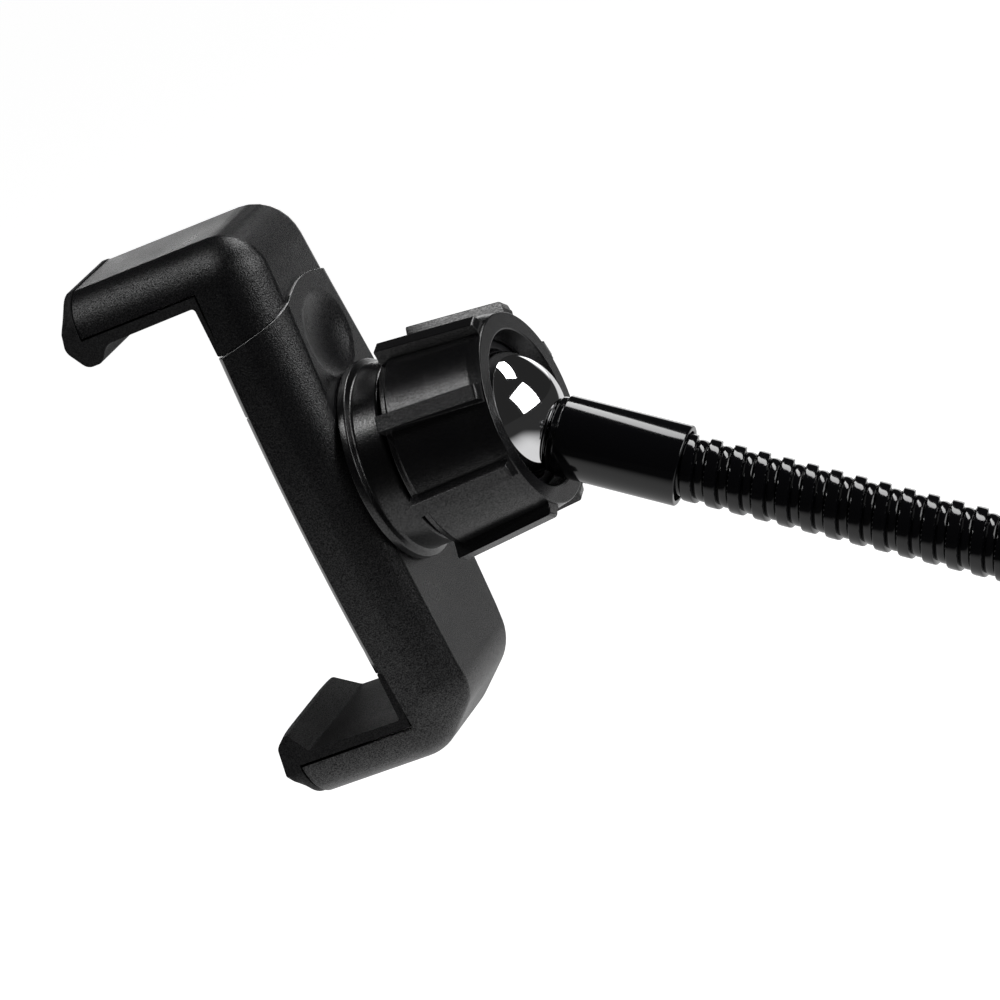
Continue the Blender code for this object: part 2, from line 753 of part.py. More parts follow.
def neck_links():
    """The chain of links; each has a cup on the clamp side and a ball on the ball-joint side."""
    lip_angle = math.degrees(math.acos(CUP_LIP / CUP_R))
    stem_angle = math.degrees(math.asin(STEM_R / LINK_BALL_R))
    inner = LINK_R - LINK_EDGE
    head = arc((0, 0), CUP_R, 180, lip_angle, 5)
    head += [(inner, CUP_LIP), (LINK_R, CUP_LIP - LINK_EDGE)]
    tail = [(LINK_R, -SHOULDER + LINK_EDGE), (inner, -SHOULDER), (STEM_R, -SHOULDER)]
    tail += arc((0, -LINK_PITCH), LINK_BALL_R, stem_angle, 180, 5)

    def link(number, profile, parent):
        return place(turned(f"neck_link_{number:02d}", profile, 14), parent, "gloss")

    # the first link is a plain plug in the lower ferrule, its ball at the first joint
    plug_top = -LINK_PITCH + (LOW_FERRULE_START + PLUG_DEPTH - CLAMP_END_JOINT)
    plug = [(0, plug_top), (inner, plug_top), (LINK_R, plug_top - LINK_EDGE)]
    link(1, plug + tail, neck_axes[0]).location = (0, 0, LINK_PITCH * MM)

    for k in range(2, JOINTS + 1):
        link(k, head + tail, neck_axes[k - 2])

    # the last link is fixed in the upper ferrule
    end = UP_FERRULE_END - (FERRULE_BORE_DEPTH - CLEAR) - BALL_END_JOINT
    end_points = [(LINK_R, end + LINK_EDGE), (inner, end), (0, end)]
    link(JOINTS + 1, head + end_points, neck_axes[-1])


# --- clamp: frame at the bore's centre, Z away from the neck, Y along the bar --------------
def jam_nut():
    start = LOW_FERRULE_END + CLEAR - BORE_CENTRE
    nut = rod("neck_jam_nut", JAM_NUT_R, start, JAM_NUT_END - BORE_CENTRE, 6)
    place(nut, clamp_axis, "clamp")
    carve(nut, cutter(rod("jam_hole", STUD_HOLE_R, -40, -15, 20), clamp_axis))


def neck_stud():
    """The stud from the clamp base into the lower ferrule."""
    top, bottom, edge = -13.8, -32.5, 0.3
    profile = [
        (0, top),
        (NECK_STUD_R - edge, top),
        (NECK_STUD_R, top - edge),
        (NECK_STUD_R, bottom + edge),
        (NECK_STUD_R - edge, bottom),
        (0, bottom),
    ]
    place(turned("neck_stud", profile, 16), clamp_axis, "steel")


def half_outline(flat_height=None):
    """One clamp half in X-Z, on the +Z side: a ring sector with two ears.

    With a flat height, the top of the ring is replaced by a flat.
    """
    ear_x = math.sqrt(CLAMP_R**2 - EAR_DEPTH**2)
    start = math.degrees(math.atan2(EAR_DEPTH, ear_x)) + 8
    if flat_height:
        angles = [start + (52 - start) * i / 2 for i in range(3)]
        crown = [(9.0, flat_height, 1.2)]
    else:
        angles = [start + (90 - start) * i / 5 for i in range(5)]
        crown = [(0, CLAMP_R, 0)]
    points = [
        (EAR_REACH, SPLIT_HALF, 0.8),
        (EAR_REACH, EAR_DEPTH, 2.0),
        (ear_x + 0.6, EAR_DEPTH, 1.5),
    ]
    for angle in map(math.radians, angles):
        points.append((CLAMP_R * math.cos(angle), CLAMP_R * math.sin(angle), 0))
    points += crown
    mirrored = [(-x, z, radius) for x, z, radius in reversed(points) if x > 0]
    return rounded(points + mirrored, 3)


def clamp_half(name, outline):
    return slab(name, outline, CLAMP_HALF, edge=CLAMP_EDGE, edge_steps=0)


def clamp_cap(bar_space, bolt_holes):
    """The half away from the neck, with a flat on top."""
    cap = clamp_half("clamp_cap", half_outline(CAP_FLAT - BORE_CENTRE))
    place(cap, clamp_axis, "clamp")
    for tool in (bar_space, *bolt_holes):
        carve(cap, tool)


def clamp_base(bar_space, bolt_holes):
    """The half on the neck side, with a round boss for the neck stud."""
    base = clamp_half("clamp_base", half_outline())
    base.data.transform(Matrix.Rotation(math.pi, 4, "Y"))
    place(base, clamp_axis, "clamp")
    face = CLAMP_FACE - BORE_CENTRE
    boss_profile = [
        (0, -10), (9.6, -10), (9.6, -15.2), (8.0, -17.0), (8.0, face + 0.5), (7.5, face), (0, face),
    ]
    carve(base, cutter(turned("boss", boss_profile, 28), clamp_axis), "UNION")
    for tool in (bar_space, *bolt_holes):
        carve(base, tool)
    carve(base, cutter(rod("stud_hole", STUD_HOLE_R, -30, 0, 20), clamp_axis))


def liner_arc(radius, sign, steps=18):
    """Points from the split at +X round to the split at -X."""
    start = math.degrees(math.asin(SPLIT_HALF / radius))
    points = []
    for i in range(steps + 1):
        angle = math.radians(start + (180 - 2 * start) * i / steps)
        points.append((radius * math.cos(angle), sign * radius * math.sin(angle)))
    return points


def clamp_liner(name, sign):
    """Half a sleeve between the clamp and the bar."""
    outline = liner_arc(LINER_OUT, sign) + liner_arc(LINER_IN, sign)[::-1]
    place(slab(name, outline, CLAMP_HALF), clamp_axis, "rubber")


def clamp_fasteners(side, x):
    """A socket-head bolt through one pair of ears, and its hex nut."""
    profile = [
        (0, 2.6),
        (2.3, 2.6),
        (2.3, 5.0),
        (3.9, 5.0),
        (4.25, 4.6),
        (4.25, 0),
        (BOLT_R, 0),
        (BOLT_R, -18.6),
        (BOLT_R - 0.4, -19.0),
        (0, -19.0),
    ]
    seat = EAR_DEPTH + CLEAR
    bolt = place(turned(f"clamp_bolt_{side}", profile, 18), clamp_axis, "steel")
    bolt.location = Vector((x, 0, seat)) * MM

    nut = rod(f"clamp_nut_{side}", HEX_NUT_R, -seat - HEX_NUT_THICK, -seat, 6, at=(x, 0, 0))
    place(nut, clamp_axis, "steel")
    hole = rod(f"nut_hole_{side}", BOLT_HOLE_R, -20, 0, 14, at=(x, 0, 0))
    carve(nut, cutter(hole, clamp_axis))


# --- assembly ------------------------------------------------------------------------
def build_holder():
    space = holder_block("phone_space", depths=(PAST_TIPS, 0), drops=(0, GAP), half=PAST_SIDES)
    cutter(space, holder_axis)
    rear_housing(space)
    upper_jaw(space)
    front_plate()
    front_pad()
    jaw_pad("upper_jaw_pad", UPPER_PAD_CORNERS, jaw_axis)
    jaw_pad("lower_jaw_pad", LOWER_PAD_CORNERS, holder_axis)
    for side, across in POST_SIDES.items():
        jaw_spring(side, across)
    holder_screws()


def build_socket():
    socket_collar()
    lock_nut()
    collet_ring()
    friction_pad()


def build_neck():
    ball_stud()
    ferrule(
        "neck_upper_ferrule", UP_FERRULE_END - UP_FERRULE_START, neck_axes[-1],
        shift=UP_FERRULE_START - BALL_END_JOINT, flip=True,
    )
    ferrule(
        "neck_lower_ferrule", LOW_FERRULE_END - LOW_FERRULE_START, clamp_axis,
        shift=LOW_FERRULE_END - BORE_CENTRE,
    )
    neck_links()


def build_clamp():
    jam_nut()
    neck_stud()
    bar_space = cutter(rod("bar_space", SEAT_R, -30, 30, 36, "Y"), clamp_axis)
    bolt_holes = [
        cutter(rod(f"bolt_hole_{i}", BOLT_HOLE_R, -20, 20, 14, at=(x, 0, 0)), clamp_axis)
        for i, x in enumerate((-BOLT_X, BOLT_X), 1)
    ]
    clamp_cap(bar_space, bolt_holes)
    clamp_base(bar_space, bolt_holes)
    clamp_liner("clamp_liner_cap", 1)
    clamp_liner("clamp_liner_base", -1)
    clamp_fasteners("upper", -BOLT_X)
    clamp_fasteners("lower", BOLT_X)


build_holder()
build_socket()
build_neck()
build_clamp()
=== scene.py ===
"""Looks for the phone handlebar mount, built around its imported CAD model."""

import json
import math

import bmesh
import bpy
from mathutils import Matrix, Vector


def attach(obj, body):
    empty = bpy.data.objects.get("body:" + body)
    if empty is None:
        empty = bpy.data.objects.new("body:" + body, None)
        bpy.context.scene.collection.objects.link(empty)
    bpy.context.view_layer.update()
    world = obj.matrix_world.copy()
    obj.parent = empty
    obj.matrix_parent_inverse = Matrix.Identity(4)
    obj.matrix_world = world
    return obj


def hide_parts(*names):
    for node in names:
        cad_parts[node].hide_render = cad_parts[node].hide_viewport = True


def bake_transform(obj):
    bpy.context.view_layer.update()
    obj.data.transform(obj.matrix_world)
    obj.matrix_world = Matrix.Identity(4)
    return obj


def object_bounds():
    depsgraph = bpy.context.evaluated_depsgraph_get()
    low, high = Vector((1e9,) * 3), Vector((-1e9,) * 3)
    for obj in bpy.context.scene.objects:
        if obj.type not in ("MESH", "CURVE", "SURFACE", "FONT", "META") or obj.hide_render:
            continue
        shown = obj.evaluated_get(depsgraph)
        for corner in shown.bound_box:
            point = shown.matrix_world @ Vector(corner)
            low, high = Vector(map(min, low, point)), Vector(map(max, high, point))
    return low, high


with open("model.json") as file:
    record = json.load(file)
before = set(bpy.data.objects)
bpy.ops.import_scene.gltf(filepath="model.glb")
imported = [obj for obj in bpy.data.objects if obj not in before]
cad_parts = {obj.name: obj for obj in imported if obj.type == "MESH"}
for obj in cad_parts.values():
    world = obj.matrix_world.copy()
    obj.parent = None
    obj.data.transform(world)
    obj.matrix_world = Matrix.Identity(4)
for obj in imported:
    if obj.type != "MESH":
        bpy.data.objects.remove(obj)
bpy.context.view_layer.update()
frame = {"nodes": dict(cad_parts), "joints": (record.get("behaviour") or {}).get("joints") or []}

MM = 0.001
joints = {j["name"]: j for j in frame["joints"]}
BALL = Vector(joints["ball_tilt"]["pos_m"])
NECK = Vector(joints["ball_swivel"]["axis"]).normalized()
SIDE = Vector((0, 1, 0))
DOWN = SIDE.cross(NECK)  # across the neck, in the holder's plane of symmetry

# holder: v from the phone to the ball, u down the jaws, w across
BALL_V, BALL_U = 25.0, 31.0
GAP, BACK, JAW, HALF_W, BULGE = 62.0, 9.0, 5.5, 11.0, 2.0
TIP_UP, TIP_LOW = -17.3, -16.3
SEAM = 8.5


# ------------------------------------------------------------------ materials
def new_material(name):
    mat = bpy.data.materials.new(name)
    mat.use_nodes = True
    nodes, links = mat.node_tree.nodes, mat.node_tree.links
    return mat, nodes, links, nodes["Principled BSDF"]


def plastic(name, colour, rough, spread=0.06, grain=2600, bump=0.05, coarse=0.0, edge_lift=0.0, specular=0.5, sheen=0.0, metallic=0.0, coat=0.0, speck=None):
    """Moulded or painted surface: fine spark-eroded grain, cloudy roughness, and a lighter colour on sharp convex
    edges.
    """
    mat, nodes, links, shader = new_material(name)
    coords = nodes.new("ShaderNodeTexCoord")
    fine = nodes.new("ShaderNodeTexNoise")
    fine.inputs["Scale"].default_value = grain
    fine.inputs["Detail"].default_value = 3
    cloud = nodes.new("ShaderNodeTexNoise")
    cloud.inputs["Scale"].default_value = 90
    cloud.inputs["Detail"].default_value = 5
    links.new(coords.outputs["Object"], fine.inputs["Vector"])
    links.new(coords.outputs["Object"], cloud.inputs["Vector"])
    ramp = nodes.new("ShaderNodeMapRange")
    ramp.inputs["To Min"].default_value = rough - spread
    ramp.inputs["To Max"].default_value = rough + spread
    ramp.inputs["From Min"].default_value = 0.3
    ramp.inputs["From Max"].default_value = 0.7
    links.new(cloud.outputs["Fac"], ramp.inputs["Value"])
    links.new(ramp.outputs["Result"], shader.inputs["Roughness"])
    mix = nodes.new("ShaderNodeMix")
    mix.data_type = "RGBA"
    mix.inputs["A"].default_value = (*colour, 1)
    mix.inputs["B"].default_value = (*[min(1, c * 1.5 + 0.0005) for c in colour], 1)
    links.new(cloud.outputs["Fac"], mix.inputs["Factor"])
    last = mix
    # lighter colour where the surface is sharply convex, by pointiness
    if edge_lift:
        geometry = nodes.new("ShaderNodeNewGeometry")
        edge = nodes.new("ShaderNodeMapRange")
        edge.inputs["From Min"].default_value = 0.52
        edge.inputs["From Max"].default_value = 0.60
        edge.inputs["To Max"].default_value = edge_lift
        links.new(geometry.outputs["Pointiness"], edge.inputs["Value"])
        lift = nodes.new("ShaderNodeMix")
        lift.data_type = "RGBA"
        lift.inputs["B"].default_value = (*[c * 3 + 0.02 for c in colour], 1)
        links.new(edge.outputs["Result"], lift.inputs["Factor"])
        links.new(mix.outputs["Result"], lift.inputs["A"])
        last = lift
    links.new(last.outputs["Result"], shader.inputs["Base Color"])
    height = nodes.new("ShaderNodeBump")
    height.inputs["Strength"].default_value = 0.6
    height.inputs["Distance"].default_value = bump * MM
    links.new(fine.outputs["Fac"], height.inputs["Height"])
    if coarse:
        wave = nodes.new("ShaderNodeTexNoise")
        wave.inputs["Scale"].default_value = 260
        links.new(coords.outputs["Object"], wave.inputs["Vector"])
        second = nodes.new("ShaderNodeBump")
        second.inputs["Strength"].default_value = 0.5
        second.inputs["Distance"].default_value = coarse * MM
        links.new(wave.outputs["Fac"], second.inputs["Height"])
        links.new(height.outputs["Normal"], second.inputs["Normal"])
        height = second
    links.new(height.outputs["Normal"], shader.inputs["Normal"])
    shader.inputs["Specular IOR Level"].default_value = specular
    if speck:  # the pits of the grain catch less light than its peaks
        pits = nodes.new("ShaderNodeMapRange")
        pits.inputs["From Min"].default_value = 0.36
        pits.inputs["From Max"].default_value = 0.64
        pits.inputs["To Min"].default_value, pits.inputs["To Max"].default_value = speck
        links.new(fine.outputs["Fac"], pits.inputs["Value"])
        links.new(pits.outputs["Result"], shader.inputs["Specular IOR Level"])
    shader.inputs["Metallic"].default_value = metallic
    if sheen:
        shader.inputs["Sheen Weight"].default_value = sheen
        shader.inputs["Sheen Roughness"].default_value = 0.4
    if coat:
        shader.inputs["Coat Weight"].default_value = coat
        shader.inputs["Coat Roughness"].default_value = 0.03
    return mat


def metal(name, colour, rough, brushed=0.0):
    mat, nodes, links, shader = new_material(name)
    coords = nodes.new("ShaderNodeTexCoord")
    noise = nodes.new("ShaderNodeTexNoise")
    noise.inputs["Scale"].default_value = 600
    noise.inputs["Detail"].default_value = 4
    stretch = nodes.new("ShaderNodeMapping")
    stretch.inputs["Scale"].default_value = (1, 1, 12 if brushed else 1)
    links.new(coords.outputs["Object"], stretch.inputs["Vector"])
    links.new(stretch.outputs["Vector"], noise.inputs["Vector"])
    ramp = nodes.new("ShaderNodeMapRange")
    ramp.inputs["To Min"].default_value = max(0.0, rough - 0.02 - brushed * 0.1)
    ramp.inputs["To Max"].default_value = rough + 0.02 + brushed * 0.15
    links.new(noise.outputs["Fac"], ramp.inputs["Value"])
    links.new(ramp.outputs["Result"], shader.inputs["Roughness"])
    shader.inputs["Base Color"].default_value = (*colour, 1)
    shader.inputs["Metallic"].default_value = 1.0
    bump = nodes.new("ShaderNodeBump")
    bump.inputs["Strength"].default_value = 0.15 + brushed * 0.5
    bump.inputs["Distance"].default_value = 0.0015 * MM + brushed * 0.01 * MM
    links.new(noise.outputs["Fac"], bump.inputs["Height"])
    links.new(bump.outputs["Normal"], shader.inputs["Normal"])
    return mat


SHELL = plastic("moulded_shell", (0.0035, 0.0035, 0.004), 0.31, 0.05, grain=5600, bump=0.10, edge_lift=0.1, speck=(0.14, 0.86))
NUT = plastic("moulded_nut", (0.0028, 0.0028, 0.0032), 0.24, 0.04, grain=5600, bump=0.03, edge_lift=0.12, speck=(0.26, 0.86))
PLATE = plastic("smooth_cover", (0.014, 0.014, 0.0135), 0.13, 0.03, grain=2600, bump=0.004, specular=1.0)
RUBBER = plastic("pad_rubber", (0.007, 0.007, 0.0075), 0.6, 0.08, grain=5600, bump=0.07, coarse=0.05, speck=(0.08, 0.42))
GLOSS = plastic("black_lacquer", (0.0015, 0.0015, 0.002), 0.10, 0.02, grain=900, bump=0.0008, specular=0.5)
# painted highlight: a light grey, glossy finish laid on the seam's edge faces in place of the light that black edge
# catches
SEAM_HIGHLIGHT_PAINT = plastic("painted_seam_highlight", (0.7, 0.7, 0.71), 0.22, 0.03, bump=0.002, specular=1.0)
CHROME = metal("chrome", (0.84, 0.84, 0.85), 0.04)
STEEL = metal("zinc_plated_steel", (0.56, 0.56, 0.58), 0.28, brushed=0.5)
DARK_STEEL = metal("black_oxide_steel", (0.05, 0.05, 0.055), 0.35, brushed=0.3)
ACETAL = plastic("acetal", (0.006, 0.006, 0.007), 0.42, 0.05, bump=0.01)
CLAMP = plastic("clamp_coat", (0.006, 0.006, 0.007), 0.36, 0.05, grain=1600, bump=0.05, edge_lift=0.15, specular=0.5)


# ------------------------------------------------------------------ mesh tools
def add(name, bm, mat, smooth=35):
    mesh = bpy.data.meshes.new(name)
    bmesh.ops.recalc_face_normals(bm, faces=bm.faces)
    bm.to_mesh(mesh)
    bm.free()
    if smooth:
        mesh.shade_smooth()
        mesh.set_sharp_from_angle(angle=math.radians(smooth))
    obj = bpy.data.objects.new(name, mesh)
    bpy.context.scene.collection.objects.link(obj)
    if mat:
        mesh.materials.append(mat)
    return obj


def bake(obj):
    """Applies an object's modifiers."""
    bpy.context.view_layer.update()
    mesh = bpy.data.meshes.new_from_object(obj.evaluated_get(bpy.context.evaluated_depsgraph_get()))
    old = obj.data
    obj.modifiers.clear()
    obj.data = mesh
    bpy.data.meshes.remove(old)
    return obj


def cut(obj, tool, operation="DIFFERENCE", keep=False):
    mod = obj.modifiers.new("cut", "BOOLEAN")
    mod.operation, mod.object, mod.solver = operation, tool, "EXACT"
    bake(obj)
    if not keep:
        bpy.data.objects.remove(tool, do_unlink=True)
    return obj


def tidy(obj, angle=0.4):
    """Joins the coplanar slivers a cut leaves."""
    bm = bmesh.new()
    bm.from_mesh(obj.data)
    bmesh.ops.remove_doubles(bm, verts=bm.verts, dist=0.000002)
    bmesh.ops.dissolve_limit(bm, angle_limit=math.radians(angle), verts=bm.verts, edges=bm.edges)
    bm.to_mesh(obj.data)
    bm.free()
    return obj


def clean(obj, gap=0.004):
    """Joins points closer than the gap, and drops faces with no area or doubled on one another."""
    bm = bmesh.new()
    bm.from_mesh(obj.data)
    bmesh.ops.remove_doubles(bm, verts=bm.verts, dist=gap * MM)
    bmesh.ops.dissolve_degenerate(bm, edges=bm.edges, dist=gap * MM * 0.5)
    for _ in range(4):
        seen = {}
        for face in bm.faces:
            seen.setdefault(frozenset(v.index for v in face.verts), []).append(face)
        doubled = [f for group in seen.values() if len(group) > 1 for f in group[: len(group) // 2 * 2]]
        if not doubled:
            break
        bmesh.ops.delete(bm, geom=doubled, context="FACES")
        bm.verts.index_update()
    loose = [v for v in bm.verts if not v.link_faces]
    bmesh.ops.delete(bm, geom=loose, context="VERTS")
    bm.to_mesh(obj.data)
    bm.free()
    return obj


def soften(obj, width, angle=40, segments=2, smooth=38, gap=0.004):
    """Rounds the sharp edges with real geometry."""
    if gap:
        clean(obj, gap * 0.5)
    mod = obj.modifiers.new("edges", "BEVEL")
    mod.width = width * MM
    mod.segments = segments
    mod.limit_method = "ANGLE"
    mod.angle_limit = math.radians(angle)
    mod.use_clamp_overlap = True
    mod.miter_outer = "MITER_ARC"
    bake(obj)
    if gap:
        clean(obj, gap)
    obj.data.shade_smooth()
    obj.data.set_sharp_from_angle(angle=math.radians(smooth))
    mod = obj.modifiers.new("normals", "WEIGHTED_NORMAL")
    mod.keep_sharp = True
    mod.weight = 80
    return obj


def box(low, high, name="tool"):
    bm = bmesh.new()
    bmesh.ops.create_cube(bm, size=1)
    low, high = Vector(low), Vector(high)
    bmesh.ops.scale(bm, vec=(high - low), verts=bm.verts)
    bmesh.ops.translate(bm, vec=(high + low) / 2, verts=bm.verts)
    return add(name, bm, None, smooth=0)


def hold(v, u, w=0.0):
    """A point of the holder, in the row frame."""
    return BALL + Vector((v - BALL_V, w, BALL_U - u)) * MM


def hbox(v0, v1, u0, u1, w0, w1):
    a, b = hold(v0, u1, w0), hold(v1, u0, w1)
    return box(a, b)


def rounded(corners, steps=4, closed=True):
    """Flat points with each (x, y, radius) corner filleted; every corner gives the same count."""
    out = []
    n = len(corners)
    for i, (x, y, r) in enumerate(corners):
        here = Vector((x, y))
        if r <= 0 or (not closed and i in (0, n - 1)):
            out.append((x, y))
            continue
        before = (Vector(corners[i - 1][:2]) - here).normalized()
        after = (Vector(corners[(i + 1) % n][:2]) - here).normalized()
        half = before.angle(after) / 2
        reach = r / math.tan(half)
        centre = here + (before + after).normalized() * (r / math.sin(half))
        a0 = here + before * reach - centre
        turn = a0.angle_signed(here + after * reach - centre)
        for k in range(steps + 1):
            p = centre + Matrix.Rotation(-turn * k / steps, 2) @ a0
            out.append((p.x, p.y))
    return out


def frame_at(origin, axis):
    m = Matrix((SIDE.cross(axis), SIDE, axis)).transposed().to_4x4()
    m.translation = origin
    return m


def lathe(name, profile, steps, matrix, mat, closed=False, smooth=30):
    """A turned body from (radius, height) points in millimetres, placed by a matrix."""
    bm = bmesh.new()
    rings = []
    for r, z in profile:
        if r < 1e-6:
            rings.append([bm.verts.new((0, 0, z * MM))])
        else:
            rings.append([bm.verts.new((r * MM * math.cos(2 * math.pi * k / steps), r * MM * math.sin(2 * math.pi * k / steps), z * MM)) for k in range(steps)])
    pairs = list(zip(rings, rings[1:])) + ([(rings[-1], rings[0])] if closed else [])
    for a, b in pairs:
        for k in range(steps):
            j = (k + 1) % steps
            if len(a) == 1 and len(b) == 1:
                continue
            if len(a) == 1:
                bm.faces.new((a[0], b[k], b[j]))
            elif len(b) == 1:
                bm.faces.new((a[k], b[0], a[j]))
            else:
                bm.faces.new((a[k], b[k], b[j], a[j]))
    obj = add(name, bm, mat, smooth)
    obj.data.transform(matrix)
    return obj


def half_width(u):
    if u <= 0 or u >= GAP:
        return HALF_W
    return HALF_W + BULGE * math.sin(math.pi * u / GAP)


def widening(v, u):
    """How much further out the crease runs at each height: least on the arms, most down the back."""
    stops = [(0.0, 1.0), (8.0, 1.3), (20.0, 2.2), (38.0, 3.2), (57.0, 3.3), (63.0, 2.2), (67.0, 1.0)]
    if u <= stops[0][0]:
        return stops[0][1]
    for (u0, d0), (u1, d1) in zip(stops, stops[1:]):
        if u <= u1:
            return d0 + (d1 - d0) * (u - u0) / (u1 - u0)
    return stops[-1][1]


def stretch(w, d):
    a = abs(w)
    out = a * (5.2 + d) / 5.2 if a <= 5.2 else 5.2 + d + (a - 5.2) * (5.8 - d) / 5.8
    return math.copysign(out, w)


def unstretch(w, d):
    a = abs(w)
    return a * 5.2 / (5.2 + d) if a <= 5.2 + d else 5.2 + (a - 5.2 - d) * 5.8 / (5.8 - d)


def swell(obj, cuts, inset=0.0, widen=False):
    bm = bmesh.new()
    bm.from_mesh(obj.data)
    for u in cuts:
        geometry = list(bm.verts) + list(bm.edges) + list(bm.faces)
        bmesh.ops.bisect_plane(bm, geom=geometry, plane_co=hold(0, u), plane_no=(0, 0, 1), dist=0.000001)
    for vert in bm.verts:
        u = BALL_U - (vert.co.z - BALL.z) / MM
        if widen:
            v = BALL_V + (vert.co.x - BALL.x) / MM
            full = HALF_W / (HALF_W - inset)
            vert.co.y = stretch(vert.co.y / MM * full, widening(v, u)) * MM / full
        vert.co.y *= (half_width(u) - inset) / (HALF_W - inset)
    bm.to_mesh(obj.data)
    bm.free()
    return obj


# ------------------------------------------------------------------ holder shells


def section(first=12, last=82, count=12):
    """Half of the cross-section: flat to w 5.2, a crease, then an arc down the side; (w, depth)."""
    a, b = math.radians(first), math.radians(last)
    out = [(5.2, 0.0)]
    for i in range(1, count + 1):
        t = a + (b - a) * i / count
        out.append((5.2 + 5.8 * (math.sin(t) - math.sin(a)) / (math.sin(b) - math.sin(a)), 5.6 * (math.cos(a) - math.cos(t)) / (math.cos(a) - math.cos(b))))
    return out


SECTION = section()


def section_depth(w):
    """How far the outer surface has dropped at a distance from the middle."""
    w = abs(w)
    if w <= 5.2:
        return 0.0
    for (w0, d0), (w1, d1) in zip(SECTION, SECTION[1:]):
        if w <= w1:
            return d0 + (d1 - d0) * (w - w0) / (w1 - w0)
    return SECTION[-1][1]

CUTS = [1.5] + [4 + 2.25 * i for i in range(25)] + [60.5, 62.2, 64.0, 65.6]


def outline_at(depth, steps=7):
    """The holder's outer silhouette, moved in by depth; always the same number of points."""
    back, top, bottom = BACK - depth, -JAW + depth, GAP + JAW - depth
    slope = Vector((-7.8, 6.7)).normalized()  # the chamfer under the lower corner
    normal = Vector((-slope.y, slope.x))
    inward = -Vector((slope.y, -slope.x))
    on = Vector((BACK, 60.8)) + inward * depth
    t = (back - on.x) / slope.x
    upper = on + slope * t
    t = (bottom - on.y) / slope.y
    lower = on + slope * t
    corners = [
        (-24.0, top, 0),
        (back, top, max(6.4 - depth, 0.5)),
        (back, upper.y, max(6.0 - depth, 0.5)),
        (lower.x, bottom, max(7.5 - depth, 0.5)),
        (-24.0, bottom, 0),
    ]
    return rounded(corners, steps)


def shell_blank(name, inset=0.0):
    """A loft of silhouettes: flat along the middle, rounding over to the sides."""
    bm = bmesh.new()
    layers = [(-w, d) for w, d in reversed(SECTION)] + SECTION
    rings = []
    for w, d in layers:
        rings.append([bm.verts.new(hold(v, u, w * (HALF_W - inset) / HALF_W)) for v, u in outline_at(d + inset)])
    for a, b in zip(rings, rings[1:]):
        for i in range(len(a)):
            j = (i + 1) % len(a)
            bm.faces.new((a[i], a[j], b[j], b[i]))
    bm.faces.new(rings[0])
    bm.faces.new(list(reversed(rings[-1])))
    obj = add(name, bm, SHELL)
    bm = bmesh.new()
    bm.from_mesh(obj.data)
    for v in (-14, -11, -8, -5, -2, 1):
        bmesh.ops.bisect_plane(bm, geom=list(bm.verts) + list(bm.edges) + list(bm.faces), plane_co=hold(v, 0), plane_no=(1, 0, 0), dist=0.000001)
    bm.to_mesh(obj.data)
    bm.free()
    swell(obj, CUTS, inset, True)
    bm = bmesh.new()
    bm.from_mesh(obj.data)
    bmesh.ops.triangulate(bm, faces=[f for f in bm.faces if len(f.verts) > 4])
    bm.to_mesh(obj.data)
    bm.free()
    return obj


def seam_height(v, w):
    bend = -math.cos(math.pi * min(abs(w), HALF_W) / HALF_W)
    return 6.05 + 0.95 * bend + 1.5 * (1 - v / 7.5)


def seam_tool(shift, far):
    """Everything to one side of the arched seam."""
    bm = bmesh.new()
    vs = [-30 + 1.5 * i for i in range(34)]
    ws = [-16 + 0.8 * i for i in range(41)]
    near = [[bm.verts.new(hold(v, seam_height(v, w) + shift, w)) for w in ws] for v in vs]
    away = [[bm.verts.new(hold(v, far, w)) for w in ws] for v in vs]
    for i in range(len(vs) - 1):
        for j in range(len(ws) - 1):
            bm.faces.new((near[i][j], near[i + 1][j], near[i + 1][j + 1], near[i][j + 1]))
            bm.faces.new((away[i][j], away[i][j + 1], away[i + 1][j + 1], away[i + 1][j]))
    for i in range(len(vs) - 1):
        for j in (0, len(ws) - 1):
            bm.faces.new((near[i][j], near[i + 1][j], away[i + 1][j], away[i][j]))
    for j in range(len(ws) - 1):
        for i in (0, len(vs) - 1):
            bm.faces.new((near[i][j], near[i][j + 1], away[i][j + 1], away[i][j]))
    return add("seam_tool", bm, None, smooth=0)


def ellipsoid(centre, radii):
    bm = bmesh.new()
    bmesh.ops.create_uvsphere(bm, u_segments=40, v_segments=24, radius=1)
    bmesh.ops.scale(bm, vec=Vector(radii) * MM, verts=bm.verts)
    bmesh.ops.translate(bm, vec=centre, verts=bm.verts)
    return add("dimple", bm, None, smooth=0)


phone = lambda: hbox(-60, 0, 0, GAP, -30, 30)
housing = shell_blank("housing_shell")
cut(housing, phone())
cut(housing, hbox(-60, TIP_LOW, 50, 90, -30, 30))
cut(housing, hbox(-60, 0.36, 53.55, GAP + 0.01, -30, 30))
cut(housing, seam_tool(0.03, -40))
cut(housing, hbox(-5, 7.3, -10, 59.4, -8.8, 8.8))
cut(housing, ellipsoid(hold(BACK + 6.0, 12.8), (6.9, 13.6, 12.2)))
cut(housing, ellipsoid(hold(BACK + 2.2, 12.9), (3.7, 7.6, 6.9)))
tidy(housing)
soften(housing, 0.25, 42)
housing.data.materials.append(SEAM_HIGHLIGHT_PAINT)
for face in housing.data.polygons:  # painted highlight: light grey faces along the arched seam stand in for its edge catching light
    at = (face.center - BALL) / MM
    v, w, u = at.x + BALL_V, at.y, BALL_U - at.z
    if v > -1.0 and abs(u - seam_height(v, w) - 0.14) < 0.24 and face.area < 1.5e-6:
        face.material_index = 1
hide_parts("rear_housing")
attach(housing, "holder")

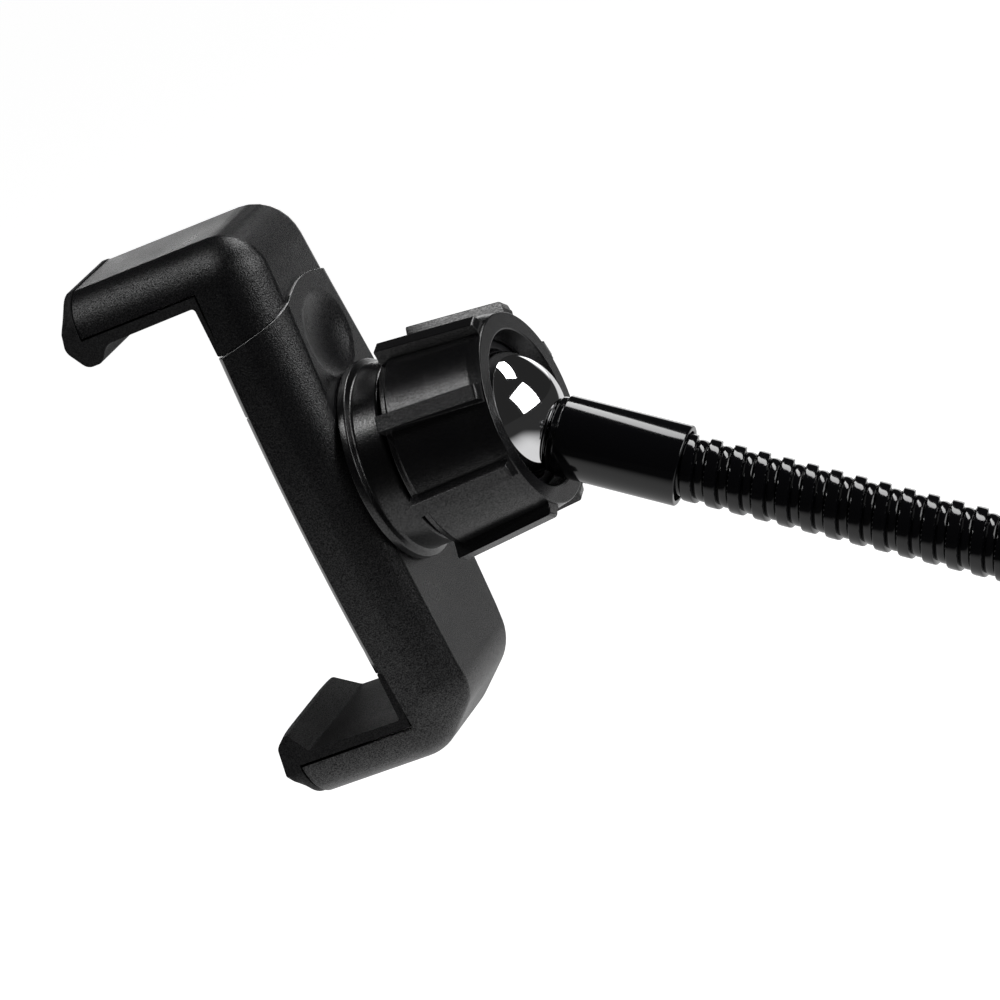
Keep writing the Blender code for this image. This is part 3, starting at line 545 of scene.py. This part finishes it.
jaw = shell_blank("upper_jaw_shell", 0.3)
cut(jaw, phone())
cut(jaw, hbox(-60, TIP_UP, -20, 10, -30, 30))
cut(jaw, seam_tool(-0.04, 110))
tongue = hbox(0.4, 5.8, 2.0, 48.0, -8.3, 8.3)
cut(jaw, tongue, "UNION")
cut(jaw, hbox(1.4, 4.8, 4.5, 53, -7.3, 7.3))
tidy(jaw)
soften(jaw, 0.12, 42)
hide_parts("upper_jaw")
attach(jaw, "upper_jaw")


def strip(name, outline, half, mat, cuts=None, inset=0.0, edge=0.15, limit=None, taper=None, wide=0.0):
    """A flat outline in (v, u), carried across the holder; limit(v, u, w) trims it to the shell's rounding."""
    bm = bmesh.new()
    across = [-half, half]
    if limit:
        across = [stretch(w, wide) for w, _ in SECTION if stretch(w, wide) < half - 0.15] + [half]
        across = [-w for w in reversed(across)] + across
    rings = []
    for w in across:
        rings.append([bm.verts.new(hold(*(limit(v, u, w) if limit else (v, u)), w * (taper(v, u) if taper else 1.0))) for v, u in outline])
    for a, b in zip(rings, rings[1:]):
        for i in range(len(a)):
            j = (i + 1) % len(a)
            bm.faces.new((a[i], a[j], b[j], b[i]))
    bm.faces.new(rings[0])
    bm.faces.new(list(reversed(rings[-1])))
    obj = add(name, bm, mat)
    if cuts:
        swell(obj, cuts, inset)
    if edge:
        soften(obj, edge, 42)
    return obj


layers = [(10.95, -0.08), (10.62, -0.55), (10.2, -0.88), (9.7, -1.05), (9.2, -1.08)]
layers = [(-w, v) for w, v in layers] + [(w, v) for w, v in reversed(layers)]
bm = bmesh.new()
rings = [[bm.verts.new(hold(*p, w)) for p in ((v, SEAM + 0.12), (-0.06, SEAM + 0.12), (-0.06, 53.5), (v, 53.5))] for w, v in layers]
for a, b in zip(rings, rings[1:]):
    for k in range(4):
        bm.faces.new((a[k], a[(k + 1) % 4], b[(k + 1) % 4], b[k]))
bm.faces.new(rings[0])
bm.faces.new(list(reversed(rings[-1])))
plate = add("cover_plate", bm, PLATE)
swell(plate, CUTS[2:], 0.05)
cut(plate, hbox(-3, -0.3, 16.6, 16.95, -30, 30))
SCREWS = [(u, w) for u in (13.0, 50.0) for w in (-9.9, 9.9)]


def bore(target, u, w, radius, v0, v1):
    bm = bmesh.new()
    bmesh.ops.create_cone(bm, cap_ends=True, segments=32, radius1=radius * MM, radius2=radius * MM, depth=(v1 - v0) * MM)
    bmesh.ops.rotate(bm, matrix=Matrix.Rotation(math.pi / 2, 3, "Y"), verts=bm.verts)
    bmesh.ops.translate(bm, vec=hold((v0 + v1) / 2, u, w), verts=bm.verts)
    cut(target, add("bore", bm, None, smooth=0))


for u, w in SCREWS:
    bore(plate, u, w, 1.5, -3, 3)
soften(plate, 0.05, 50, gap=0)
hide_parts("front_plate")
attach(plate, "holder")

# ------------------------------------------------------------------ pads
def trim(side, wide):
    """Carries the jaw's rounding on across its pad."""

    def limit(v, u, w):
        d = section_depth(unstretch(w, wide))
        edge = JAW - 0.15 - d * 0.98
        out = -u if side < 0 else u - GAP
        start, end = 1.2, 5.3
        if out > start:
            if edge > start:
                out = start + (out - start) * min(1.0, (edge - start) / (end - start))
            else:
                out = edge
        elif out > edge:
            out = edge
        tip = 0.5 * d / 5.6 if v < -17.5 else 0.0
        return v + tip, (-out if side < 0 else GAP + out)

    return limit


upper_pad = strip(
    "upper_pad",
    rounded(
        [
            (TIP_UP - 0.3, 0.3, 0),
            (-0.28, 0.3, 0),
            (-0.28, 8.45, 0.1),
            (-0.95, 8.45, 0.3),
            (-0.95, 1.6, 0.5),
            (-14.2, 1.75, 2.0),
            (-15.8, 3.75, 1.1),
            (-18.4, 3.75, 1.5),
            (-20.2, 0.9, 1.8),
            (-19.7, -2.6, 3.0),
            (-18.5, -5.3, 0.6),
            (TIP_UP - 0.3, -5.3, 0),
        ],
        6,
    ),
    10.85,
    RUBBER,
    edge=0.32,
    limit=trim(-1, 1.0),
    wide=1.0,
)
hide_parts("upper_jaw_pad")
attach(upper_pad, "upper_jaw")

lower_pad = strip(
    "lower_pad",
    rounded(
        [
            (TIP_LOW - 0.3, GAP - 0.3, 0),
            (TIP_LOW - 0.3, 67.2, 0),
            (-17.5, 67.2, 0.5),
            (-18.9, 64.9, 1.0),
            (-19.4, 62.6, 2.0),
            (-19.1, 58.8, 0.9),
            (-17.9, 57.75, 0.4),
            (-17.0, 57.75, 0.4),
            (-14.4, 60.3, 0.7),
            (-0.9, 60.45, 0.3),
            (-0.9, 53.7, 0.3),
            (0.08, 53.7, 0),
            (0.08, GAP - 0.3, 0),
        ],
        6,
    ),
    10.85,
    RUBBER,
    edge=0.3,
    limit=trim(1, 1.0),
    wide=1.0,
    taper=lambda v, u: 1.0 - 0.12 * min(1.0, max(0.0, 60.2 - u) / 2.4) if v < -14 else 1.0,
)
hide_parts("lower_jaw_pad")
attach(lower_pad, "holder")

face = rounded([(-1.0, 53.0, 0), (-1.9, 53.0, 0.5), (-1.9, 51.0, 0)], 4, closed=False)
for u in range(50, 18, -3):
    face += [(-1.9, u + 0.4), (-1.5, u + 0.15), (-1.5, u - 0.15), (-1.9, u - 0.4)]
face += rounded([(-1.9, 18.2, 0), (-1.9, 17.0, 0.5), (-1.0, 17.0, 0)], 4, closed=False)
front = strip("front_grip", face, 7.0, RUBBER, edge=0.12)
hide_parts("front_pad")
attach(front, "holder")

# ------------------------------------------------------------------ socket, nut, ball
SOCKET = frame_at(BALL, Vector((1, 0, 0)))
collar = lathe(
    "collar",
    rounded(
        [
            (0, -10.3, 0),
            (9.9, -10.3, 0),
            (9.9, 0.6, 0.2),
            (11.0, 0.6, 0.3),
            (11.0, -10.4, 0.2),
            (12.3, -10.4, 0.5),
            (12.3, -14.3, 0.5),
            (13.2, -14.75, 0.3),
            (13.2, -15.75, 0.1),
            (0, -15.75, 0),
        ],
        4,
        closed=False,
    ),
    128,
    SOCKET,
    NUT,
)
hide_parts("socket_collar")
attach(collar, "holder")

nut = lathe(
    "ribbed_nut",
    rounded(
        [
            (12.6, 4.7, 0.18),
            (12.95, 3.0, 2.5),
            (13.4, -3.0, 8.0),
            (13.9, -8.4, 0.3),
            (13.55, -8.65, 0.15),
            (13.55, -9.4, 0.2),
            (11.35, -9.4, 0.2),
            (11.35, 2.0, 0.2),
            (9.7, 2.25, 0.1),
            (9.7, 2.6, 0.1),
            (10.35, 4.7, 0.25),
        ],
        4,
    ),
    160,
    SOCKET,
    NUT,
    closed=True,
)
ribs = bmesh.new()
for k in range(8):
    a = math.radians(-14 + 45 * k)
    profile = rounded([(12.0, -9.45, 0), (15.5, -9.45, 0.15), (14.95, -3.5, 14.0), (14.2, 4.15, 0.5), (13.2, 4.45, 0.2), (12.0, 4.45, 0)], 4)
    rings = []
    for t in (-1.0, -0.94, 0.94, 1.0):
        ring = []
        for r, z in profile:
            side = t * (1.3 if r < 13.2 else 1.02)
            lower = 0.0 if abs(t) < 0.97 else 0.1
            rr = r - (lower if r > 13.2 else 0)
            ring.append(ribs.verts.new(Vector((-rr * math.cos(a) + side * math.sin(a), rr * math.sin(a) + side * math.cos(a), z)) * MM))
        rings.append(ring)
    ribs.faces.new(rings[0])
    ribs.faces.new(list(reversed(rings[-1])))
    for p, q in zip(rings, rings[1:]):
        for i in range(len(profile)):
            j = (i + 1) % len(profile)
            ribs.faces.new((p[j], p[i], q[i], q[j]))
tool = add("ribs", ribs, None, smooth=0)
tool.data.transform(SOCKET)
cut(nut, tool, "UNION")
tidy(nut, 0.1)
soften(nut, 0.1, 35, 2, 40)
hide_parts("lock_nut")
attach(nut, "lock_nut")

ball_frame = frame_at(BALL, NECK)
arc = [(8.5 * math.sin(math.radians(a)), -8.5 * math.cos(math.radians(a))) for a in [160 * i / 56 for i in range(57)]]
ball = lathe("chrome_ball", arc + [(2.9, 8.2), (2.9, 15.4), (2.6, 15.7), (0, 15.7)], 112, ball_frame, CHROME)
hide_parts("ball_stud")
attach(ball, "ball")


def ferrule(name, node, body, start, away):
    """A turned ferrule: a lipped seat at the stud's end, a bore for the neck at the other."""
    length = 16.8
    sign = 1 if away else -1
    origin = BALL + NECK * start * MM
    profile = rounded(
        [
            (0, 8.9, 0),
            (3.3, 8.9, 0),
            (3.3, 1.4, 0.1),
            (4.3, 0.0, 0.15),
            (4.75, 0.0, 0.12),
            (4.86, 0.75, 0.1),
            (5.15, 0.95, 0.15),
            (5.15, length, 0.22),
            (4.45, length, 0.15),
            (4.4, length - 6.0, 0),
            (0, length - 6.0, 0),
        ],
        4,
        closed=False,
    )
    m = frame_at(origin, NECK * sign)
    obj = lathe(name, profile, 96, m, GLOSS)
    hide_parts(node)
    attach(obj, body)
    return obj


ferrule("upper_ferrule", "neck_upper_ferrule", "neck_10", 7.4, True)
ferrule("lower_ferrule", "neck_lower_ferrule", "clamp", 103.9, False)

# ------------------------------------------------------------------ wound neck
PITCH = 3.1


def wound_radius(phase):
    """Outline of the winding over one pitch: a flat band, a groove, a lower rounded band, a groove."""
    p = phase % 1.0

    def step(x, a, b):
        t = min(1.0, max(0.0, (x - a) / (b - a)))
        return t * t * (3 - 2 * t)

    # the wide band is centred on phase 0
    d = min(p, 1 - p)
    if d < 0.275:
        flat = 4.2 - 0.05 * (d / 0.25) ** 4
        return flat - (flat - 3.42) * step(d, 0.235, 0.275)
    q = (0.5 - d) / 0.225
    return 3.42 + 0.34 * math.sqrt(max(0.0, 1 - min(1.0, abs(q)) ** 2.6))


def neck_piece(name, lo, hi, node, bodies):
    steps, slices = 72, max(8, int(round((hi - lo) / 0.085)))
    bm = bmesh.new()
    rings = []
    for i in range(slices + 1):
        z = lo + (hi - lo) * i / slices
        ring = []
        for k in range(steps):
            a = 2 * math.pi * k / steps
            r = wound_radius((z - 24.5) / PITCH - a / (2 * math.pi))
            offset = (-DOWN * math.cos(a) - SIDE * math.sin(a)) * r
            ring.append(bm.verts.new(BALL + (NECK * z + offset) * MM))
        rings.append(ring)
    inner = []
    for z in (lo, hi):
        inner.append([bm.verts.new(BALL + (NECK * z + (-DOWN * math.cos(2 * math.pi * k / steps) - SIDE * math.sin(2 * math.pi * k / steps)) * 2.7) * MM) for k in range(steps)])
    for a, b in list(zip(rings, rings[1:])) + [(rings[-1], inner[1]), (inner[1], inner[0]), (inner[0], rings[0])]:
        for k in range(steps):
            j = (k + 1) % steps
            bm.faces.new((a[k], a[j], b[j], b[k]))
    obj = add(name, bm, GLOSS, 50)
    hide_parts(*node)
    if len(bodies) == 1:
        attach(obj, bodies[0])
    else:
        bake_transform(obj)
    return obj


FIRST = 26.9
for k in range(1, 11):
    at = FIRST + 6.2 * (10 - k)
    parent = "clamp" if k == 1 else f"neck_{k - 1:02d}"
    low, high = at - 3.1, at + 3.1
    nodes = [f"neck_link_{k + 1:02d}"] + (["neck_link_01"] if k == 1 else [])
    if k == 10:
        low = 21.0
    if k == 1:
        high = 91.0
    neck_piece(f"neck_winding_{k:02d}", low, high, nodes, (parent, f"neck_{k:02d}"))

# ------------------------------------------------------------------ return springs
def coil(name, w, top, bottom):
    """A close-wound spring between two hooks, as one tube of wire."""
    middle, radius, eye, turns, per = 3.1, 1.25, 1.45, 26, 12
    path = []
    for i in range(13):
        a = math.radians(-50 + 250 * i / 12)
        path.append(hold(middle, top - eye * math.cos(a), w + eye * math.sin(a)))
    start, end = top + 3.2, bottom - 3.2
    for i in range(turns * per + 1):
        a = 2 * math.pi * i / per
        path.append(hold(middle + radius * math.sin(a), start + (end - start) * i / (turns * per), w + radius * math.cos(a)))
    for i in range(13):
        a = math.radians(20 + 250 * i / 12)
        path.append(hold(middle, bottom - eye * math.cos(a), w + eye * math.sin(a)))
    bm = bmesh.new()
    rings, last = [], None
    for i, p in enumerate(path):
        t = (path[min(i + 1, len(path) - 1)] - path[max(i - 1, 0)]).normalized()
        guide = last if last else (Vector((1, 0, 0)) if abs(t.x) < 0.8 else Vector((0, 1, 0)))
        a = (guide - t * guide.dot(t)).normalized()
        last = a
        b = t.cross(a)
        rings.append([bm.verts.new(p + (a * math.cos(k * math.pi / 3) + b * math.sin(k * math.pi / 3)) * 0.22 * MM) for k in range(6)])
    for p, q in zip(rings, rings[1:]):
        for k in range(6):
            bm.faces.new((p[k], p[(k + 1) % 6], q[(k + 1) % 6], q[k]))
    bm.faces.new(list(reversed(rings[0])))
    bm.faces.new(rings[-1])
    return add(name, bm, STEEL, 60)


for side, w in (("right", -4.2), ("left", 4.2)):
    spring = coil(f"return_spring_{side}", w, 7.4, 56.6)
    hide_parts(f"jaw_spring_{side}")
    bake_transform(spring)

# ------------------------------------------------------------------ bar clamp: X across the bar, Y along it, Z away from the neck
CLAMP_FRAME = frame_at(BALL + NECK * 128.0 * MM, NECK)
EAR_R, EAR_D, CLAMP_L = 26.0, 6.6, 11.0


def on_clamp(obj):
    obj.data.transform(CLAMP_FRAME)
    return obj


def slab(name, outline, half, mat, z_turn=False):
    bm = bmesh.new()
    s = -1 if z_turn else 1
    ends = [[bm.verts.new(Vector((x * s, y, z * s)) * MM) for x, z in outline] for y in (-half, half)]
    for i in range(len(outline)):
        j = (i + 1) % len(outline)
        bm.faces.new((ends[0][i], ends[0][j], ends[1][j], ends[1][i]))
    bm.faces.new(ends[0])
    bm.faces.new(list(reversed(ends[1])))
    return add(name, bm, mat, 30)


def rod(x, radius, z0, z1, steps=40, y=0.0):
    bm = bmesh.new()
    bmesh.ops.create_cone(bm, cap_ends=True, segments=steps, radius1=radius * MM, radius2=radius * MM, depth=(z1 - z0) * MM)
    bmesh.ops.translate(bm, vec=Vector((x, y, (z0 + z1) / 2)) * MM, verts=bm.verts)
    return add("rod", bm, None, smooth=0)


def arc_points(radius, a0, a1, count):
    return [(radius * math.cos(math.radians(a0 + (a1 - a0) * i / count)), radius * math.sin(math.radians(a0 + (a1 - a0) * i / count))) for i in range(count + 1)]


def half_clamp(flat=None):
    """Ring sector with two ears, its bore open; the flat is the mounting face of the cap."""
    shoulder = math.sqrt(17.2**2 - EAR_D**2)
    ear = rounded([(20, 1.0, 0), (EAR_R, 1.0, 0.8), (EAR_R, EAR_D, 2.0), (shoulder + 0.6, EAR_D, 1.5), (15.2, 8.0, 0)], 3, closed=False)[1:-1]
    first = math.degrees(math.atan2(EAR_D, shoulder)) + 6
    if flat:
        crown = arc_points(17.2, first, 52, 12)
        crown += rounded([crown[-1] + (0,), (9.0, flat, 1.2), (0, flat, 0)], 3, closed=False)[1:-1]
        outer = ear + crown
        outer = outer + [(-x, z) for x, z in reversed(outer)]
    else:
        outer = ear + arc_points(17.2, first, 90, 20)
        outer = outer + [(-x, z) for x, z in reversed(outer[:-1])]
    lip = math.degrees(math.asin(1.0 / 13.4))
    return outer + arc_points(13.4, 180 - lip, lip, 44)


def finish_half(obj, width):
    for x in (-20.6, 20.6):
        cut(obj, rod(x, 2.8, -20, 20))
        cut(obj, rod(x, 5.0, 6.35, 20) if obj.name.startswith("cap") else rod(x, 5.1, -20, -6.35))
    tidy(obj, 0.2)
    return soften(obj, width, 40, 3, 40)


cap = finish_half(slab("cap_half", half_clamp(19.0), CLAMP_L, CLAMP), 0.6)
base = slab("base_half", half_clamp(), CLAMP_L, CLAMP, z_turn=True)
boss = lathe("boss", [(0, -14.2), (9.6, -14.2), (9.6, -15.2), (9.3, -15.9), (8.6, -16.6), (8.0, -17.5), (8.0, -19.8), (7.7, -20.1), (7.5, -20.3), (0, -20.3)], 96, Matrix(), None)
cut(base, boss, "UNION")
cut(base, rod(0, 3.3, -30, 0))
finish_half(base, 0.5)
for obj, node in ((cap, "clamp_cap"), (base, "clamp_base")):
    on_clamp(obj)
    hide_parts(node)
    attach(obj, "clamp")

for name, turn in (("cap", False), ("base", True)):
    lip = math.degrees(math.asin(1.0 / 13.1))
    inner = []
    for i in range(13):  # ribs and grooves along the bar
        a = lip + 1.6 + (180 - 2 * lip - 3.2) * i / 13
        step = (180 - 2 * lip - 3.2) / 13
        for part, r in ((0.0, 11.2), (0.30, 11.2), (0.60, 11.2), (0.68, 11.62), (0.92, 11.62)):
            inner.append((r * math.cos(math.radians(a + step * part)), r * math.sin(math.radians(a + step * part))))
    last = math.radians(180 - lip - 1.6)
    inner.append((11.2 * math.cos(last), 11.2 * math.sin(last)))
    liner = slab(f"liner_{name}", arc_points(13.1, lip, 180 - lip, 48) + list(reversed(inner)), 10.95, RUBBER, z_turn=turn)
    soften(liner, 0.15, 35, 2, 35)
    on_clamp(liner)
    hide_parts(f"clamp_liner_{name}")
    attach(liner, "clamp")

for name, x in (("upper", -20.6), ("lower", 20.6)):
    thread = []
    for i in range(18):
        thread += [(2.5, -8.6 - 0.58 * i), (2.2, -8.6 - 0.58 * i - 0.29)]
    bolt = lathe(
        f"socket_bolt_{name}",
        [(0, 5.0), (3.9, 5.0), (4.17, 4.85), (4.25, 4.55), (4.25, 0.25), (4.1, 0.0), (2.5, 0.0), (2.5, -8.6)] + thread + [(2.1, -19.0), (0, -19.0)],
        64,
        Matrix(),
        STEEL,
    )
    cut(bolt, rod(0, 2.3, 2.6, 6, 6))
    soften(bolt, 0.08, 50, 2, 35)
    bolt.data.transform(Matrix.Translation(Vector((x, 0, EAR_D + 0.3)) * MM))
    nut_body = rod(x, 4.6, -EAR_D - 4.3, -EAR_D - 0.3, 6)
    nut_body.name = f"clamp_hex_nut_{name}"
    nut_body.data.materials.append(STEEL)
    top, bottom = -EAR_D - 0.3, -EAR_D - 4.3
    cone = lathe("cone", [(0, top), (4.0, top), (4.65, top - 0.38), (4.65, bottom + 0.38), (4.0, bottom), (0, bottom)], 48, Matrix.Translation((x * MM, 0, 0)), None)
    cut(nut_body, cone, "INTERSECT")
    cut(nut_body, rod(x, 2.75, -20, 0))
    soften(nut_body, 0.07, 45, 2, 25)
    for obj, node in ((bolt, f"clamp_bolt_{name}"), (nut_body, f"clamp_nut_{name}")):
        on_clamp(obj)
        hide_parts(node)
        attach(obj, "clamp")

jam = rod(0, 6.4, -23.8, -20.6, 6)
jam.name = "jam_nut"
jam.data.materials.append(CLAMP)
cone = lathe("cone", [(0, -20.6), (5.6, -20.6), (6.45, -21.05), (6.45, -23.35), (5.6, -23.8), (0, -23.8)], 48, Matrix(), None)
cut(jam, cone, "INTERSECT")
cut(jam, rod(0, 3.3, -40, 0))
soften(jam, 0.08, 45, 2, 25)
on_clamp(jam)
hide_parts("neck_jam_nut")
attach(jam, "clamp")

# ------------------------------------------------------------------ parts kept from the CAD model
KEPT = {
    "collet_ring": ACETAL,
    "friction_pad": ACETAL,
}
KEPT.update({f"cover_screw_{i}": DARK_STEEL for i in range(1, 5)})
for name, obj in frame["nodes"].items():
    if obj.hide_render:
        continue
    obj.data.materials.clear()
    obj.data.materials.append(KEPT.get(name, STEEL))
    weld = obj.modifiers.new("weld", "WELD")
    weld.merge_threshold = 0.000004
    edges = obj.modifiers.new("edges", "BEVEL")
    edges.width = 0.12 * MM
    edges.segments = 2
    edges.limit_method = "ANGLE"
    edges.angle_limit = math.radians(38)
    edges.use_clamp_overlap = True
    obj.data.shade_smooth()
    obj.data.set_sharp_from_angle(angle=math.radians(40))

# ------------------------------------------------------------------ stage, light, camera
low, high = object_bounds()
bm = bmesh.new()
bmesh.ops.create_grid(bm, x_segments=1, y_segments=1, size=6)
floor = add("floor", bm, None, smooth=0)
floor.location = (0, 0, low.z - 0.03)
mat, nodes, links, shader = new_material("floor")
nodes.remove(shader)
path = nodes.new("ShaderNodeLightPath")
seen = nodes.new("ShaderNodeAddShader")
pale = nodes.new("ShaderNodeBsdfDiffuse")
pale.inputs["Color"].default_value = (0.5, 0.5, 0.5, 1)
lift = nodes.new("ShaderNodeEmission")
lift.inputs["Strength"].default_value = 0.97
links.new(pale.outputs["BSDF"], seen.inputs[0])
links.new(lift.outputs["Emission"], seen.inputs[1])
bounce = nodes.new("ShaderNodeEmission")
place = nodes.new("ShaderNodeNewGeometry")


def along(direction):
    node = nodes.new("ShaderNodeVectorMath")
    node.operation = "DOT_PRODUCT"
    node.inputs[1].default_value = direction
    links.new(place.outputs["Position"], node.inputs[0])
    return node.outputs["Value"]


def maths(operation, a, b):
    node = nodes.new("ShaderNodeMath")
    node.operation = operation
    for socket, value in zip(node.inputs, (a, b)):
        if isinstance(value, (int, float)):
            socket.default_value = value
        else:
            links.new(value, socket)
    return node.outputs["Value"]


def ramp(value, a, b, low=1.0, high=0.0):
    node = nodes.new("ShaderNodeMapRange")
    node.interpolation_type = "SMOOTHSTEP"
    node.inputs["From Min"].default_value = a
    node.inputs["From Max"].default_value = b
    node.inputs["To Min"].default_value = low
    node.inputs["To Max"].default_value = high
    links.new(value, node.inputs["Value"])
    return node.outputs["Result"]


# a white table: dark beyond its near edge and beyond its right-hand edge
near = along((0.42, -0.907, 0))
across = maths("SUBTRACT", along((0.907, 0.42, 0)), maths("MULTIPLY", maths("MAXIMUM", maths("MULTIPLY", near, -1.0), 0.0), 0.7))
lit = maths("MULTIPLY", ramp(near, 0.03, 0.28), ramp(across, -0.05, 0.07))
links.new(maths("ADD", maths("MULTIPLY", lit, 0.72), 0.03), bounce.inputs["Strength"])
floor_mix = nodes.new("ShaderNodeMixShader")
links.new(path.outputs["Is Camera Ray"], floor_mix.inputs["Fac"])
links.new(bounce.outputs["Emission"], floor_mix.inputs[1])
links.new(seen.outputs["Shader"], floor_mix.inputs[2])
links.new(floor_mix.outputs["Shader"], nodes["Material Output"].inputs["Surface"])
floor.data.materials.append(mat)

right = Vector((0.856, 0.289, -0.429))
forward = Vector((-0.409, 0.885, -0.222)).normalized()
right = (right - forward * right.dot(forward)).normalized()
up = right.cross(forward)

# a dark studio with a white sweep behind the object
world = bpy.data.worlds.new("studio")
bpy.context.scene.world = world
world.use_nodes = True
nodes, links = world.node_tree.nodes, world.node_tree.links
path = nodes.new("ShaderNodeLightPath")
coords = nodes.new("ShaderNodeTexCoord")
behind = nodes.new("ShaderNodeVectorMath")
behind.operation = "DOT_PRODUCT"
behind.inputs[1].default_value = forward
links.new(coords.outputs["Generated"], behind.inputs[0])
height = nodes.new("ShaderNodeSeparateXYZ")
links.new(coords.outputs["Generated"], height.inputs[0])
sweep = maths("MULTIPLY", ramp(behind.outputs["Value"], 0.7, 0.9, 0.0, 1.0), ramp(height.outputs["Z"], 0.15, 0.20))
dark = nodes["Background"]
dark.inputs["Color"].default_value = (1, 1, 1, 1)
links.new(maths("ADD", maths("MULTIPLY", sweep, 1.9), 0.02), dark.inputs["Strength"])
white = nodes.new("ShaderNodeBackground")
white.inputs["Color"].default_value = (1, 1, 1, 1)
backdrop = nodes.new("ShaderNodeMixShader")
links.new(path.outputs["Is Camera Ray"], backdrop.inputs["Fac"])
links.new(dark.outputs["Background"], backdrop.inputs[1])
links.new(white.outputs["Background"], backdrop.inputs[2])
links.new(backdrop.outputs["Shader"], nodes["World Output"].inputs["Surface"])

distance = 0.694
camera = bpy.data.objects.new("camera", bpy.data.cameras.new("camera"))
camera.data.lens, camera.data.sensor_width = 200, 36
camera.data.clip_start, camera.data.clip_end = 0.01, 50
target = BALL - up * 10.1 * MM
m = Matrix((right, up, -forward)).transposed().to_4x4()
m.translation = target - forward * distance
camera.matrix_world = m
bpy.context.scene.collection.objects.link(camera)
bpy.context.scene.camera = camera


def area(name, direction, size, power, far=0.6):
    """A softbox seen from the object in a given direction of the camera's frame (right, up, towards the camera)."""
    d = (right * direction[0] + up * direction[1] - forward * direction[2]).normalized()
    lamp = bpy.data.lights.new(name, "AREA")
    lamp.shape = "RECTANGLE"
    lamp.size, lamp.size_y = size
    lamp.energy = power
    obj = bpy.data.objects.new(name, lamp)
    obj.location = BALL + d * far
    obj.rotation_euler = (-d).to_track_quat("-Z", "Y").to_euler()
    bpy.context.scene.collection.objects.link(obj)
    return obj


area("top_box", (0.12, 0.99, -0.05), (0.42, 0.15), 1.8)
area("front_box", (0.65, 0.54, 0.54), (0.45, 0.39), 2.2)
area("left_box", (-0.82, 0.50, 0.36), (0.30, 0.10), 0.75)

bpy.context.scene.view_settings.view_transform = "Standard"
